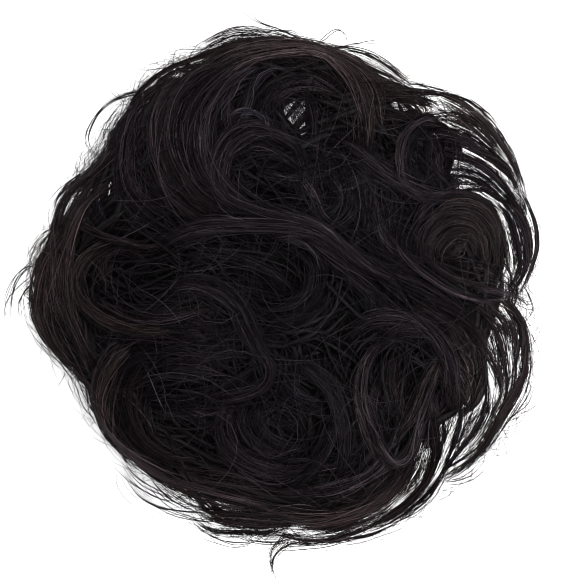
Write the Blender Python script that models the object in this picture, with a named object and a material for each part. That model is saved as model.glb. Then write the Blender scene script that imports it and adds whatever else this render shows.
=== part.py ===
"""Top knot hairpiece: a tousled bun of loose curls on a flat elastic band.

Metres, +Z up.  The piece lies on its underside, seen from above as it is worn from behind.
The origin is on the resting plane, below the middle of the whole piece.
Lengths in the tables are millimetres and become metres in the last step.
"""
import math
from collections import namedtuple

import bpy
import numpy as np
from mathutils.kdtree import KDTree

# ---------------------------------------------------------------- driving dimensions (mm)
PLAN_STEP = 0.33          # size of one step of the plan grid that the lock table counts in
PLAN_MID = (284.0, 290.0)  # plan position of the middle, x to the right and y downwards

EQUATOR_Z = 23.0          # height of the widest part
CROWN_Z = 60.0            # top of the hair
SQUARENESS = 2.35         # roundness of the dome, 2 is an ellipse
UNDER_SHARE = 0.66        # radius of the resting ring against the widest radius

CORE_DROP = 7.8           # the dense mass lies this far under the top of the hair
BAND_OUTER_R = 30.0
BAND_INNER_R = 22.0
BAND_THICK = 3.0
SEAT_GAP = 0.3            # clearance between touching pieces
HOLLOW_R = 25.0           # the space for the wearer's own bun
HOLLOW_Z = 33.0
LOCK_GAP = 0.55           # clearance between a lock and what it lies on

SIDES_ROUND = 40
STATION_STEP = 4.6        # length between two sections of a lock

# Widest radius of the whole piece and of its dense mass, every 15 degrees from +X
OUTLINE = namedtuple("OUTLINE", "deg rim core")
OUTLINE_TABLE = [
    OUTLINE(0, 79.5, 68), OUTLINE(15, 85.5, 68), OUTLINE(30, 85.0, 63), OUTLINE(45, 82.0, 62),
    OUTLINE(60, 79.0, 63), OUTLINE(75, 79.0, 56), OUTLINE(90, 82.5, 49), OUTLINE(105, 82.0, 60),
    OUTLINE(120, 83.5, 72), OUTLINE(135, 78.0, 69), OUTLINE(150, 76.5, 64), OUTLINE(165, 79.0, 69),
    OUTLINE(180, 84.0, 75), OUTLINE(195, 78.5, 71), OUTLINE(210, 74.5, 67), OUTLINE(225, 75.5, 68),
    OUTLINE(240, 76.5, 69), OUTLINE(255, 82.5, 72), OUTLINE(270, 80.5, 72), OUTLINE(285, 84.0, 72),
    OUTLINE(300, 84.0, 66), OUTLINE(315, 86.5, 64), OUTLINE(330, 87.7, 66), OUTLINE(345, 84.5, 70),
]

# Dents and swellings of the top: plan position, radius and height in mm
RELIEF = namedtuple("RELIEF", "what x y radius height")
RELIEF_TABLE = [
    RELIEF("middle whorl", 245, 285, 11, -6.0),
    RELIEF("dark part right of the middle", 345, 298, 9, -5.0),
    RELIEF("left whorl", 108, 275, 10, -5.0),
    RELIEF("upper opening under the arch", 298, 112, 12, -9.0),
    RELIEF("lower whorl", 280, 425, 12, -5.0),
    RELIEF("lower right curl", 395, 400, 9, -4.0),
    RELIEF("part beside the pointed lock", 405, 300, 9, -5.0),
    RELIEF("part at the lower left", 205, 447, 9, -4.0),
    RELIEF("upper left swell", 205, 120, 16, 2.5),
    RELIEF("swell under the long lock", 330, 215, 14, 2.5),
    RELIEF("right round curl", 462, 240, 13, 2.0),
    RELIEF("left swell", 160, 355, 14, 2.5),
    RELIEF("bottom swell", 315, 490, 12, 2.0),
]

# Locks.  depth: how far under the top of the hair, width and thick: section,
# a to f: six plan positions that the middle of the lock runs through.
LOW, MIDDLE, TOP = 6.0, 3.0, 0.2
LOCK = namedtuple("LOCK", "name depth width thick a b c d e f")
LOCK_TABLE = [
    LOCK("left_outer_sweep", LOW, 14, 2.5, (74, 215), (50, 252), (42, 288), (45, 318), (60, 350), (88, 388)),
    LOCK("lower_left_edge", LOW, 14, 2.5, (96, 398), (114, 432), (142, 458), (174, 478), (208, 490), (246, 496)),
    LOCK("left_edge_fall", LOW, 14, 2.5, (144, 102), (127, 126), (120, 152), (122, 180), (136, 206), (162, 226)),
    LOCK("lower_left_cross", LOW, 14, 2.5, (132, 398), (156, 407), (182, 408), (204, 403), (218, 393), (226, 380)),
    LOCK("middle_left_swell", LOW, 16, 2.5, (118, 360), (140, 344), (170, 340), (198, 338), (222, 330), (232, 318)),
    LOCK("crown_net", LOW, 14, 2.5, (318, 148), (333, 166), (343, 188), (340, 206), (326, 216), (308, 212)),
    LOCK("right_net", LOW, 14, 2.5, (387, 168), (380, 190), (382, 215), (393, 238), (414, 254), (438, 262)),
    LOCK("centre_whorl", LOW, 12, 2.5, (306, 250), (320, 268), (316, 294), (298, 312), (270, 317), (252, 303)),
    LOCK("lower_right_arc", LOW, 12, 2.5, (346, 342), (368, 322), (400, 319), (430, 333), (447, 360), (451, 396)),
    LOCK("lower_centre_whorl", LOW, 13, 2.5, (246, 402), (230, 422), (240, 446), (270, 462), (306, 463), (334, 446)),
    LOCK("inner_arch", LOW, 7, 2.5, (348, 136), (345, 105), (318, 86), (286, 88), (264, 106), (262, 138)),
    LOCK("right_upper_inner", LOW, 5, 2.4, (424, 152), (446, 152), (468, 162), (486, 180), (497, 201), (501, 220)),
    LOCK("right_upper_middle", LOW, 6, 2.4, (394, 126), (430, 122), (460, 134), (484, 155), (500, 176), (508, 198)),
    LOCK("right_lower_inner", LOW, 6, 2.4, (458, 334), (474, 352), (486, 380), (484, 408), (467, 438), (444, 468)),
    LOCK("bottom_edge", LOW, 7, 2.4, (192, 509), (212, 522), (240, 526), (270, 523), (300, 516), (330, 505)),
    LOCK("left_inner_sweep", MIDDLE, 15, 2.5, (112, 175), (84, 205), (72, 242), (70, 283), (78, 322), (98, 362)),
    LOCK("lower_left_lock", MIDDLE, 15, 2.5, (140, 362), (124, 382), (118, 406), (127, 432), (152, 450), (190, 461)),
    LOCK("upper_left_fall", MIDDLE, 15, 2.5, (206, 74), (174, 97), (160, 130), (164, 165), (184, 198), (216, 220)),
    LOCK("upper_middle_fall", MIDDLE, 15, 2.5, (262, 70), (226, 86), (206, 118), (206, 152), (224, 182), (254, 204)),
    LOCK("middle_right_stream", MIDDLE, 13, 2.5, (326, 246), (346, 266), (368, 288), (392, 310), (418, 326), (448, 340)),
    LOCK("right_top_curl", MIDDLE, 8, 2.5, (440, 120), (415, 128), (402, 150), (406, 178), (424, 194), (444, 184)),
    LOCK("right_round_curl", MIDDLE, 13, 2.5, (424, 228), (454, 213), (480, 222), (491, 244), (487, 266), (466, 280)),
    LOCK("bottom_middle_lock", MIDDLE, 12, 2.5, (408, 452), (394, 474), (370, 491), (340, 499), (302, 496), (264, 485)),
    LOCK("right_rim_loop", MIDDLE, 7, 2.4, (512, 206), (522, 220), (528, 243), (525, 264), (516, 278), (504, 288)),
    LOCK("right_upper_outer", MIDDLE, 6, 2.4, (385, 93), (422, 95), (460, 107), (488, 131), (505, 160), (515, 190)),
    LOCK("right_lower_outer", MIDDLE, 8, 2.4, (507, 320), (517, 338), (521, 360), (516, 392), (496, 428), (464, 460)),
    LOCK("bottom_right_band", MIDDLE, 6, 2.4, (440, 415), (438, 453), (426, 480), (398, 504), (358, 521), (305, 531)),
    LOCK("bottom_tip_curl", MIDDLE, 3, 1.8, (332, 528), (307, 530), (290, 536), (279, 546), (275, 556), (276, 566)),
    LOCK("top_arch", TOP, 14, 2.5, (372, 132), (360, 86), (322, 59), (276, 54), (230, 60), (186, 84)),
    LOCK("centre_left_curl", TOP, 9, 2.5, (286, 142), (258, 130), (238, 144), (232, 164), (237, 182), (250, 194)),
    LOCK("left_whorl", TOP, 13, 2.5, (112, 238), (92, 258), (88, 290), (112, 318), (150, 328), (190, 320)),
    LOCK("s_curl", TOP, 12, 2.5, (158, 290), (202, 284), (238, 306), (255, 342), (262, 374), (226, 398)),
    LOCK("lower_middle_lock", TOP, 9, 2.5, (290, 358), (318, 373), (337, 398), (344, 428), (342, 456), (328, 478)),
    LOCK("lower_right_u_curl", TOP, 8, 2.5, (384, 350), (368, 386), (373, 428), (394, 454), (414, 432), (432, 390)),
    LOCK("upper_right_lock", TOP, 10, 2.5, (336, 136), (362, 154), (390, 174), (414, 189), (438, 196), (462, 192)),
    LOCK("long_centre_lock", TOP, 13, 2.5, (196, 232), (248, 224), (300, 226), (340, 246), (372, 268), (398, 284)),
    LOCK("pointed_lock", TOP, 10, 2.5, (402, 240), (414, 262), (438, 282), (468, 294), (496, 298), (516, 302)),
]

# Plain locks round the side: how many, turn of the first, degrees that one takes, angle below
# the widest part at its ends and at its middle
FLANK = namedtuple("FLANK", "name count first span end middle width thick")
FLANK_TABLE = [
    FLANK("flank_lock", 9, 8, 38, 14, 38, 14, 3.0),
]
FLANK_DEPTH = 4.0

HAIR_COLOUR = (0.018, 0.013, 0.014, 1.0)
BAND_COLOUR = (0.012, 0.012, 0.013, 1.0)


# ---------------------------------------------------------------- shape of the whole
def turn_value(column, theta):
    """A column of the outline table at any angle, round and smooth."""
    values = np.array([getattr(row, column) for row in OUTLINE_TABLE], float)
    count = len(values)
    place = (np.asarray(theta) % (2 * math.pi)) / (2 * math.pi) * count
    i = np.floor(place).astype(int)
    f = place - i
    a, b, c, d = (values[(i + k) % count] for k in (-1, 0, 1, 2))
    return b + 0.5 * f * (c - a + f * (2 * a - 5 * b + 4 * c - d + f * (3 * (b - c) + d - a)))


def relief(x, y):
    total = np.zeros_like(np.asarray(x, float))
    for row in RELIEF_TABLE:
        cx = (row.x - PLAN_MID[0]) * PLAN_STEP
        cy = (PLAN_MID[1] - row.y) * PLAN_STEP
        total = total + row.height * np.exp(-((x - cx) ** 2 + (y - cy) ** 2) / (2 * row.radius ** 2))
    return total


def skin(column, crown, theta, alpha):
    """Point of the hair's surface.  alpha: 0 at the crown, pi/2 at the widest part, pi below."""
    theta, alpha = np.broadcast_arrays(np.asarray(theta, float), np.asarray(alpha, float))
    rim = turn_value(column, theta)
    up = np.clip(alpha, 0, math.pi / 2)
    down = np.clip(alpha - math.pi / 2, 0, math.pi / 2)
    power = 2.0 / SQUARENESS
    share_r = np.where(alpha <= math.pi / 2, np.sin(up) ** power,
                       UNDER_SHARE + (1 - UNDER_SHARE) * np.cos(down))
    share_z = np.maximum(np.cos(up), 0) ** power
    x = rim * share_r * np.cos(theta)
    y = rim * share_r * np.sin(theta)
    z = EQUATOR_Z + (crown - EQUATOR_Z) * share_z - EQUATOR_Z * np.sin(down)
    z = z + relief(x, y) * np.clip(share_z, 0, 1) ** 0.5
    return np.stack([x, y, z], axis=-1)


def skin_normal(column, crown, theta, alpha):
    e = 0.01
    alpha = np.maximum(alpha, 0.03)
    along = skin(column, crown, theta, alpha + e) - skin(column, crown, theta, alpha - e)
    round_ = skin(column, crown, np.asarray(theta) + e, alpha) - skin(column, crown, np.asarray(theta) - e, alpha)
    n = np.cross(along, round_)
    return n / np.linalg.norm(n, axis=-1, keepdims=True)


def smooth_route(points, count):
    """A smooth curve through the points, read at equal steps of its length."""
    p = np.array(points, float)
    p = np.vstack([2 * p[0] - p[1], p, 2 * p[-1] - p[-2]])
    fine = []
    for k in range(1, len(p) - 2):
        for f in np.linspace(0, 1, 24, endpoint=False):
            a, b, c, d = p[k - 1], p[k], p[k + 1], p[k + 2]
            fine.append(b + 0.5 * f * (c - a + f * (2 * a - 5 * b + 4 * c - d + f * (3 * (b - c) + d - a))))
    fine.append(p[-2])
    fine = np.array(fine)
    run = np.concatenate([[0], np.cumsum(np.linalg.norm(np.diff(fine, axis=0), axis=1))])
    want = np.linspace(0, run[-1], count)
    return np.stack([np.interp(want, run, fine[:, k]) for k in range(fine.shape[1])], axis=1)


# ---------------------------------------------------------------- heights already taken
class Cover:
    """How high over each place of the hair's surface something already lies."""

    REACH = 1.5

    def __init__(self):
        theta, alpha = [], []
        for a in np.linspace(0.02, math.pi, 105):
            ring = max(int(math.sin(min(a, math.pi / 2)) * 400), 8)
            theta.append(np.arange(ring) * 2 * math.pi / ring)
            alpha.append(np.full(ring, a))
        theta, alpha = np.concatenate(theta), np.concatenate(alpha)
        self.spot = skin("rim", CROWN_Z, theta, alpha)
        self.normal = skin_normal("rim", CROWN_Z, theta, alpha)
        self.taken = np.full(len(self.spot), -30.0)
        self.tree = KDTree(len(self.spot))
        for i, p in enumerate(self.spot):
            self.tree.insert(p, i)
        self.tree.balance()

    def place(self, points):
        index = np.array([self.tree.find(p)[1] for p in points])
        return index, np.sum((points - self.spot[index]) * self.normal[index], axis=1)

    def add(self, points):
        index, height = self.place(points)
        best = {}
        for i, h in zip(index, height):
            if h > best.get(i, -99.0):
                best[i] = h
        for i, h in best.items():
            for _, k, _ in self.tree.find_range(self.spot[i], self.REACH):
                if h > self.taken[k]:
                    self.taken[k] = h

    def lack(self, points):
        """How much higher these points must lie to be clear of what is there."""
        flat = points.reshape(-1, 3)
        index, height = self.place(flat)
        return (self.taken[index] + LOCK_GAP - height).reshape(points.shape[:-1])


# ---------------------------------------------------------------- meshes
def add_object(name, verts, faces, colour, rough=0.42):
    mesh = bpy.data.meshes.new(name)
    mesh.from_pydata([tuple(float(c) * 0.001 for c in v) for v in verts], [], [tuple(f) for f in faces])
    mesh.validate()
    mesh.update()
    mesh.shade_smooth()
    mesh.set_sharp_from_angle(angle=math.radians(50))
    material = bpy.data.materials.new(name + "_finish")
    material.use_nodes = True
    shader = material.node_tree.nodes["Principled BSDF"]
    shader.inputs["Base Color"].default_value = colour
    shader.inputs["Roughness"].default_value = rough
    mesh.materials.append(material)
    obj = bpy.data.objects.new(name, mesh)
    bpy.context.scene.collection.objects.link(obj)
    return obj


def rings_to_solid(name, rings, colour, closed_loop=False, rough=0.42, shift=(0, 0, 0)):
    """Joins rings of equal count into one closed skin, with a fan at each end."""
    verts, faces = [], []
    count = len(rings[0])
    for ring in rings:
        verts += [np.asarray(p, float) + shift for p in ring]
    for r in range(len(rings) - (0 if closed_loop else 1)):
        a, b = r * count, ((r + 1) % len(rings)) * count
        for k in range(count):
            m = (k + 1) % count
            faces.append((a + k, a + m, b + m, b + k))
    if not closed_loop:
        for ring, order in ((0, -1), (len(rings) - 1, 1)):
            mid = len(verts)
            verts.append(np.mean(rings[ring], axis=0) + shift)
            for k in range(count):
                m = (k + 1) % count
                pair = (ring * count + k, ring * count + m)
                faces.append(pair[::order] + (mid,))
    return add_object(name, verts, faces, colour, rough)


def lock_sections(middle, normal, width, thick, taper=0.30):
    """Flat lens sections, six sided, along the middle line of a lock."""
    along = np.gradient(middle, axis=0)
    along /= np.linalg.norm(along, axis=1, keepdims=True)
    n = normal - along * np.sum(normal * along, axis=1, keepdims=True)
    n /= np.linalg.norm(n, axis=1, keepdims=True)
    across = np.cross(along, n)
    t = np.linspace(0, 1, len(middle))
    swell = taper + (1 - taper) * np.sin(math.pi * np.clip(t, 0, 1)) ** 0.6
    rings = []
    for k in range(len(middle)):
        w, h = width * swell[k] / 2, thick * (0.35 + 0.65 * swell[k]) / 2
        rings.append([middle[k] + across[k] * (w * a) + n[k] * (h * b)
                      for a, b in ((-1, 0), (-0.55, 1), (0.55, 1), (1, 0), (0.55, -1), (-0.55, -1))])
    return np.array(rings)


def dense(rings, fine=8):
    """Points all over the skin of a lock."""
    rings = np.concatenate([rings, rings[:, :1]], axis=1)
    f = np.linspace(0, 1, fine)[:, None, None]
    rows = [rings[k] + (rings[k + 1] - rings[k]) * f for k in range(len(rings) - 1)]
    rows = np.concatenate(rows)
    g = np.linspace(0, 1, 7)[:, None]
    cols = [rows[:, k, None] + (rows[:, k + 1, None] - rows[:, k, None]) * g for k in range(rows.shape[1] - 1)]
    return np.concatenate(cols, axis=1).reshape(-1, 3)


def settle(middle, normal, width, thick, cover, taper=0.30):
    """Raises a lock where something already lies under it, gently along its length."""
    count = len(middle)
    raised = np.zeros(count)
    for _ in range(6):
        here = middle + normal * raised[:, None]
        rings = lock_sections(here, normal, width, thick, taper)
        lack = cover.lack(np.concatenate([rings, (rings + np.roll(rings, 1, axis=1)) / 2], axis=1)).max(axis=1)
        for f in (0.33, 0.67):
            between = cover.lack(rings[:-1] * (1 - f) + rings[1:] * f).max(axis=1)
            lack[:-1] = np.maximum(lack[:-1], between)
            lack[1:] = np.maximum(lack[1:], between)
        if lack.max() <= 0:
            break
        need = raised + np.maximum(lack, 0)
        soft = need.copy()
        for _ in range(3):
            mean = soft.copy()
            mean[1:-1] = (soft[:-2] + soft[2:]) / 2
            soft = np.maximum(need, mean)
        raised = soft
    return middle + normal * raised[:, None]


# ---------------------------------------------------------------- the pieces
def core_rings():
    theta = np.arange(SIDES_ROUND) * 2 * math.pi / SIDES_ROUND
    rings = []
    for alpha in list(np.linspace(0.10, math.pi / 2, 10)) + list(np.linspace(math.pi / 2 + 0.35, math.pi, 4)):
        rings.append(skin("core", CROWN_Z - CORE_DROP, theta, alpha))
    rings[-1][:, 2] = 0.0
    inner = [(BAND_OUTER_R + SEAT_GAP, 0.0), (BAND_OUTER_R + SEAT_GAP, BAND_THICK + SEAT_GAP),
             (HOLLOW_R - 1.0, BAND_THICK + SEAT_GAP), (HOLLOW_R + 0.5, 11.0), (HOLLOW_R, 20.0),
             (HOLLOW_R - 4.5, HOLLOW_Z - 5.5), (HOLLOW_R - 13.0, HOLLOW_Z - 1.2), (4.0, HOLLOW_Z)]
    for radius, z in inner:
        rings.append(np.stack([radius * np.cos(theta), radius * np.sin(theta), np.full_like(theta, z)], axis=1))
    return rings


def band_rings():
    edge = 0.9
    profile = [(BAND_OUTER_R, edge), (BAND_OUTER_R, BAND_THICK - edge), (BAND_OUTER_R - edge, BAND_THICK),
               (BAND_INNER_R + edge, BAND_THICK), (BAND_INNER_R, BAND_THICK - edge), (BAND_INNER_R, edge),
               (BAND_INNER_R + edge, 0.0), (BAND_OUTER_R - edge, 0.0)]
    theta = np.arange(SIDES_ROUND) * 2 * math.pi / SIDES_ROUND
    return [[(r * math.cos(a), r * math.sin(a), z) for r, z in profile] for a in theta[::-1]]


def build():
    for obj in list(bpy.data.objects):
        bpy.data.objects.remove(obj, do_unlink=True)

    solids = {}
    core = core_rings()
    cover = Cover()
    cover.add(dense(np.array(core[:14]), 8))
    cover.add(dense(np.array([core[0], core[0] * 0 + core[0].mean(axis=0)]), 24))

    for row in FLANK_TABLE:
        for k in range(row.count):
            rule = np.linspace(-1, 1, 10)
            th = np.radians(row.first + 360.0 * k / row.count + row.span * rule / 2)
            al = math.pi / 2 + np.radians(row.end + (row.middle - row.end) * np.cos(math.pi * rule / 2))
            normal = skin_normal("rim", CROWN_Z, th, al)
            middle = skin("rim", CROWN_Z, th, al) - normal * FLANK_DEPTH
            middle = settle(middle, normal, row.width, row.thick, cover, 0.22)
            rings = lock_sections(middle, normal, row.width, row.thick, 0.22)
            cover.add(dense(rings))
            solids["%s_%d" % (row.name, k + 1)] = rings

    for row in sorted(LOCK_TABLE, key=lambda r: -r.depth):
        route = [((x - PLAN_MID[0]) * PLAN_STEP, (PLAN_MID[1] - y) * PLAN_STEP)
                 for x, y in (row.a, row.b, row.c, row.d, row.e, row.f)]
        length = sum(math.dist(p, q) for p, q in zip(route, route[1:]))
        plan = smooth_route(route, min(max(int(length / STATION_STEP) + 1, 9), 15))
        th = np.arctan2(plan[:, 1], plan[:, 0])
        share = np.hypot(plan[:, 0], plan[:, 1]) / turn_value("rim", th)
        over = np.maximum(share / 0.995, 1.0)[:, None]
        al = np.arcsin(np.clip(share, 0, 0.995) ** (SQUARENESS / 2))
        normal = skin_normal("rim", CROWN_Z, th, al)
        middle = skin("rim", CROWN_Z, th, al) - normal * row.depth
        middle[:, :2] = plan
        middle[:, 2] -= (over[:, 0] - 1) * 60
        middle = settle(middle, normal, row.width, row.thick, cover)
        rings = lock_sections(middle, normal, row.width, row.thick)
        cover.add(dense(rings))
        solids[row.name] = rings

    everything = np.concatenate([np.array(r).reshape(-1, 3) for r in solids.values()] +
                                [np.array(core).reshape(-1, 3)])
    low, high = everything.min(axis=0), everything.max(axis=0)
    shift = np.array([-(low[0] + high[0]) / 2, -(low[1] + high[1]) / 2, 0.0])

    rings_to_solid("hair_core", core[::-1], HAIR_COLOUR, shift=shift, rough=0.55)
    rings_to_solid("elastic_band", band_rings(), BAND_COLOUR, closed_loop=True, shift=shift, rough=0.8)
    for name, rings in solids.items():
        rings_to_solid(name, rings, HAIR_COLOUR, shift=shift)


build()
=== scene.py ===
"""Looks of the top knot hairpiece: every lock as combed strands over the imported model."""
import math
from collections import namedtuple

import bpy
import numpy as np
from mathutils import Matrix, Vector


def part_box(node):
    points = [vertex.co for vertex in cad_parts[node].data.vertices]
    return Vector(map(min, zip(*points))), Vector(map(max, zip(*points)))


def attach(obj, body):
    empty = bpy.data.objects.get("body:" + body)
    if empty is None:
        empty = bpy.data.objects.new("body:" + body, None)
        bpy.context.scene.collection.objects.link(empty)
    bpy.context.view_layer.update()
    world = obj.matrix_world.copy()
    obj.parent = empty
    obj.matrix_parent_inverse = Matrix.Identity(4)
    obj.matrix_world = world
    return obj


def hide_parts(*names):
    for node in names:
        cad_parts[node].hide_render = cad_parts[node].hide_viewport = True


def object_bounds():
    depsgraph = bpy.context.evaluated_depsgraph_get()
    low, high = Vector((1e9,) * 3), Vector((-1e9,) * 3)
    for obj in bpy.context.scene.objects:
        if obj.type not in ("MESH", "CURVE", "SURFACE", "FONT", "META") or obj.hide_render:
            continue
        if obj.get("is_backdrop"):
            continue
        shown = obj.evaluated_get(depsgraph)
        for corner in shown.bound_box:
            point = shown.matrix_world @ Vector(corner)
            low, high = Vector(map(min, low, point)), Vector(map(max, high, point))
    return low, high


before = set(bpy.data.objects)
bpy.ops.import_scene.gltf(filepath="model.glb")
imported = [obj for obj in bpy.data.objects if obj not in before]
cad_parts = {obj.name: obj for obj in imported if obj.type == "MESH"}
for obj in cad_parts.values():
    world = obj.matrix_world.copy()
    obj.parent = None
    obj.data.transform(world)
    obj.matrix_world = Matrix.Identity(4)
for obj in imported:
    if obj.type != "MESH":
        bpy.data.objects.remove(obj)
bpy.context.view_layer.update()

# ---------------------------------------------------------------- the same frame as the solids (mm)
PLAN_STEP = 0.33
PLAN_MID = (284.0, 290.0)
EQUATOR_Z = 23.0
CROWN_Z = 60.0
SQUARENESS = 2.35
UNDER_SHARE = 0.66
CORE_DROP = 7.8
BAND_OUTER_R, BAND_INNER_R, BAND_THICK = 30.0, 22.0, 3.0
HOLLOW_R, HOLLOW_Z = 25.0, 33.0

_lo, _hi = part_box("elastic_band")
SHIFT = np.array([(_lo.x + _hi.x) / 2, (_lo.y + _hi.y) / 2, 0.0])

# Widest radius of the piece, of its dense mass, and as far as it is too dense to see through
OUTLINE = namedtuple("OUTLINE", "deg rim core dense")
OUTLINE_TABLE = [
    OUTLINE(0, 79.5, 68, 73), OUTLINE(15, 85.5, 68, 74),
    OUTLINE(30, 85, 63, 67), OUTLINE(45, 82, 62, 71),
    OUTLINE(60, 79, 63, 77), OUTLINE(75, 79, 56, 80),
    OUTLINE(90, 82.5, 49, 82), OUTLINE(105, 82, 60, 82),
    OUTLINE(120, 83.5, 72, 82), OUTLINE(135, 78, 69, 77),
    OUTLINE(150, 76.5, 64, 74.5), OUTLINE(165, 79, 69, 79),
    OUTLINE(180, 84, 75, 82.5), OUTLINE(195, 78.5, 71, 79),
    OUTLINE(210, 74.5, 67, 73), OUTLINE(225, 75.5, 68, 75),
    OUTLINE(240, 76.5, 69, 74.5), OUTLINE(255, 82.5, 72, 80),
    OUTLINE(270, 80.5, 72, 79), OUTLINE(285, 84, 72, 82),
    OUTLINE(300, 84, 66, 74), OUTLINE(315, 86.5, 64, 68),
    OUTLINE(330, 87.7, 66, 71.5), OUTLINE(345, 84.5, 70, 69.5),
]

RELIEF = namedtuple("RELIEF", "what x y radius height")
RELIEF_TABLE = [
    RELIEF("middle whorl", 245, 285, 11, -6.0),
    RELIEF("dark part right of the middle", 345, 298, 9, -5.0),
    RELIEF("left whorl", 108, 275, 10, -5.0),
    RELIEF("upper opening under the arch", 298, 112, 12, -9.0),
    RELIEF("lower whorl", 280, 425, 12, -5.0),
    RELIEF("lower right curl", 395, 400, 9, -4.0),
    RELIEF("part beside the pointed lock", 405, 300, 9, -5.0),
    RELIEF("part at the lower left", 205, 447, 9, -4.0),
    RELIEF("upper left swell", 205, 120, 16, 2.5),
    RELIEF("swell under the long lock", 330, 215, 14, 2.5),
    RELIEF("right round curl", 462, 240, 13, 2.0),
    RELIEF("left swell", 160, 355, 14, 2.5),
    RELIEF("bottom swell", 315, 490, 12, 2.0),
]

# Places that light shows through: middle, half length and half width, turn of the long side
GAP = namedtuple("GAP", "what x y half_long half_wide turn")
GAP_TABLE = [
    GAP("under the arch", 296, 112, 17, 7, -70),
    GAP("beside the arch", 327, 82, 5, 2.5, -40),
    GAP("upper right", 401, 106, 10, 5, -10),
    GAP("left hole", 98, 205, 9, 3.5, 80),
    GAP("left slit", 69, 215, 6, 1.5, 60),
    GAP("bottom slit", 306, 532, 16, 2.5, 0),
    GAP("bottom left slit", 205, 502, 20, 3.5, -12),
]

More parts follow.
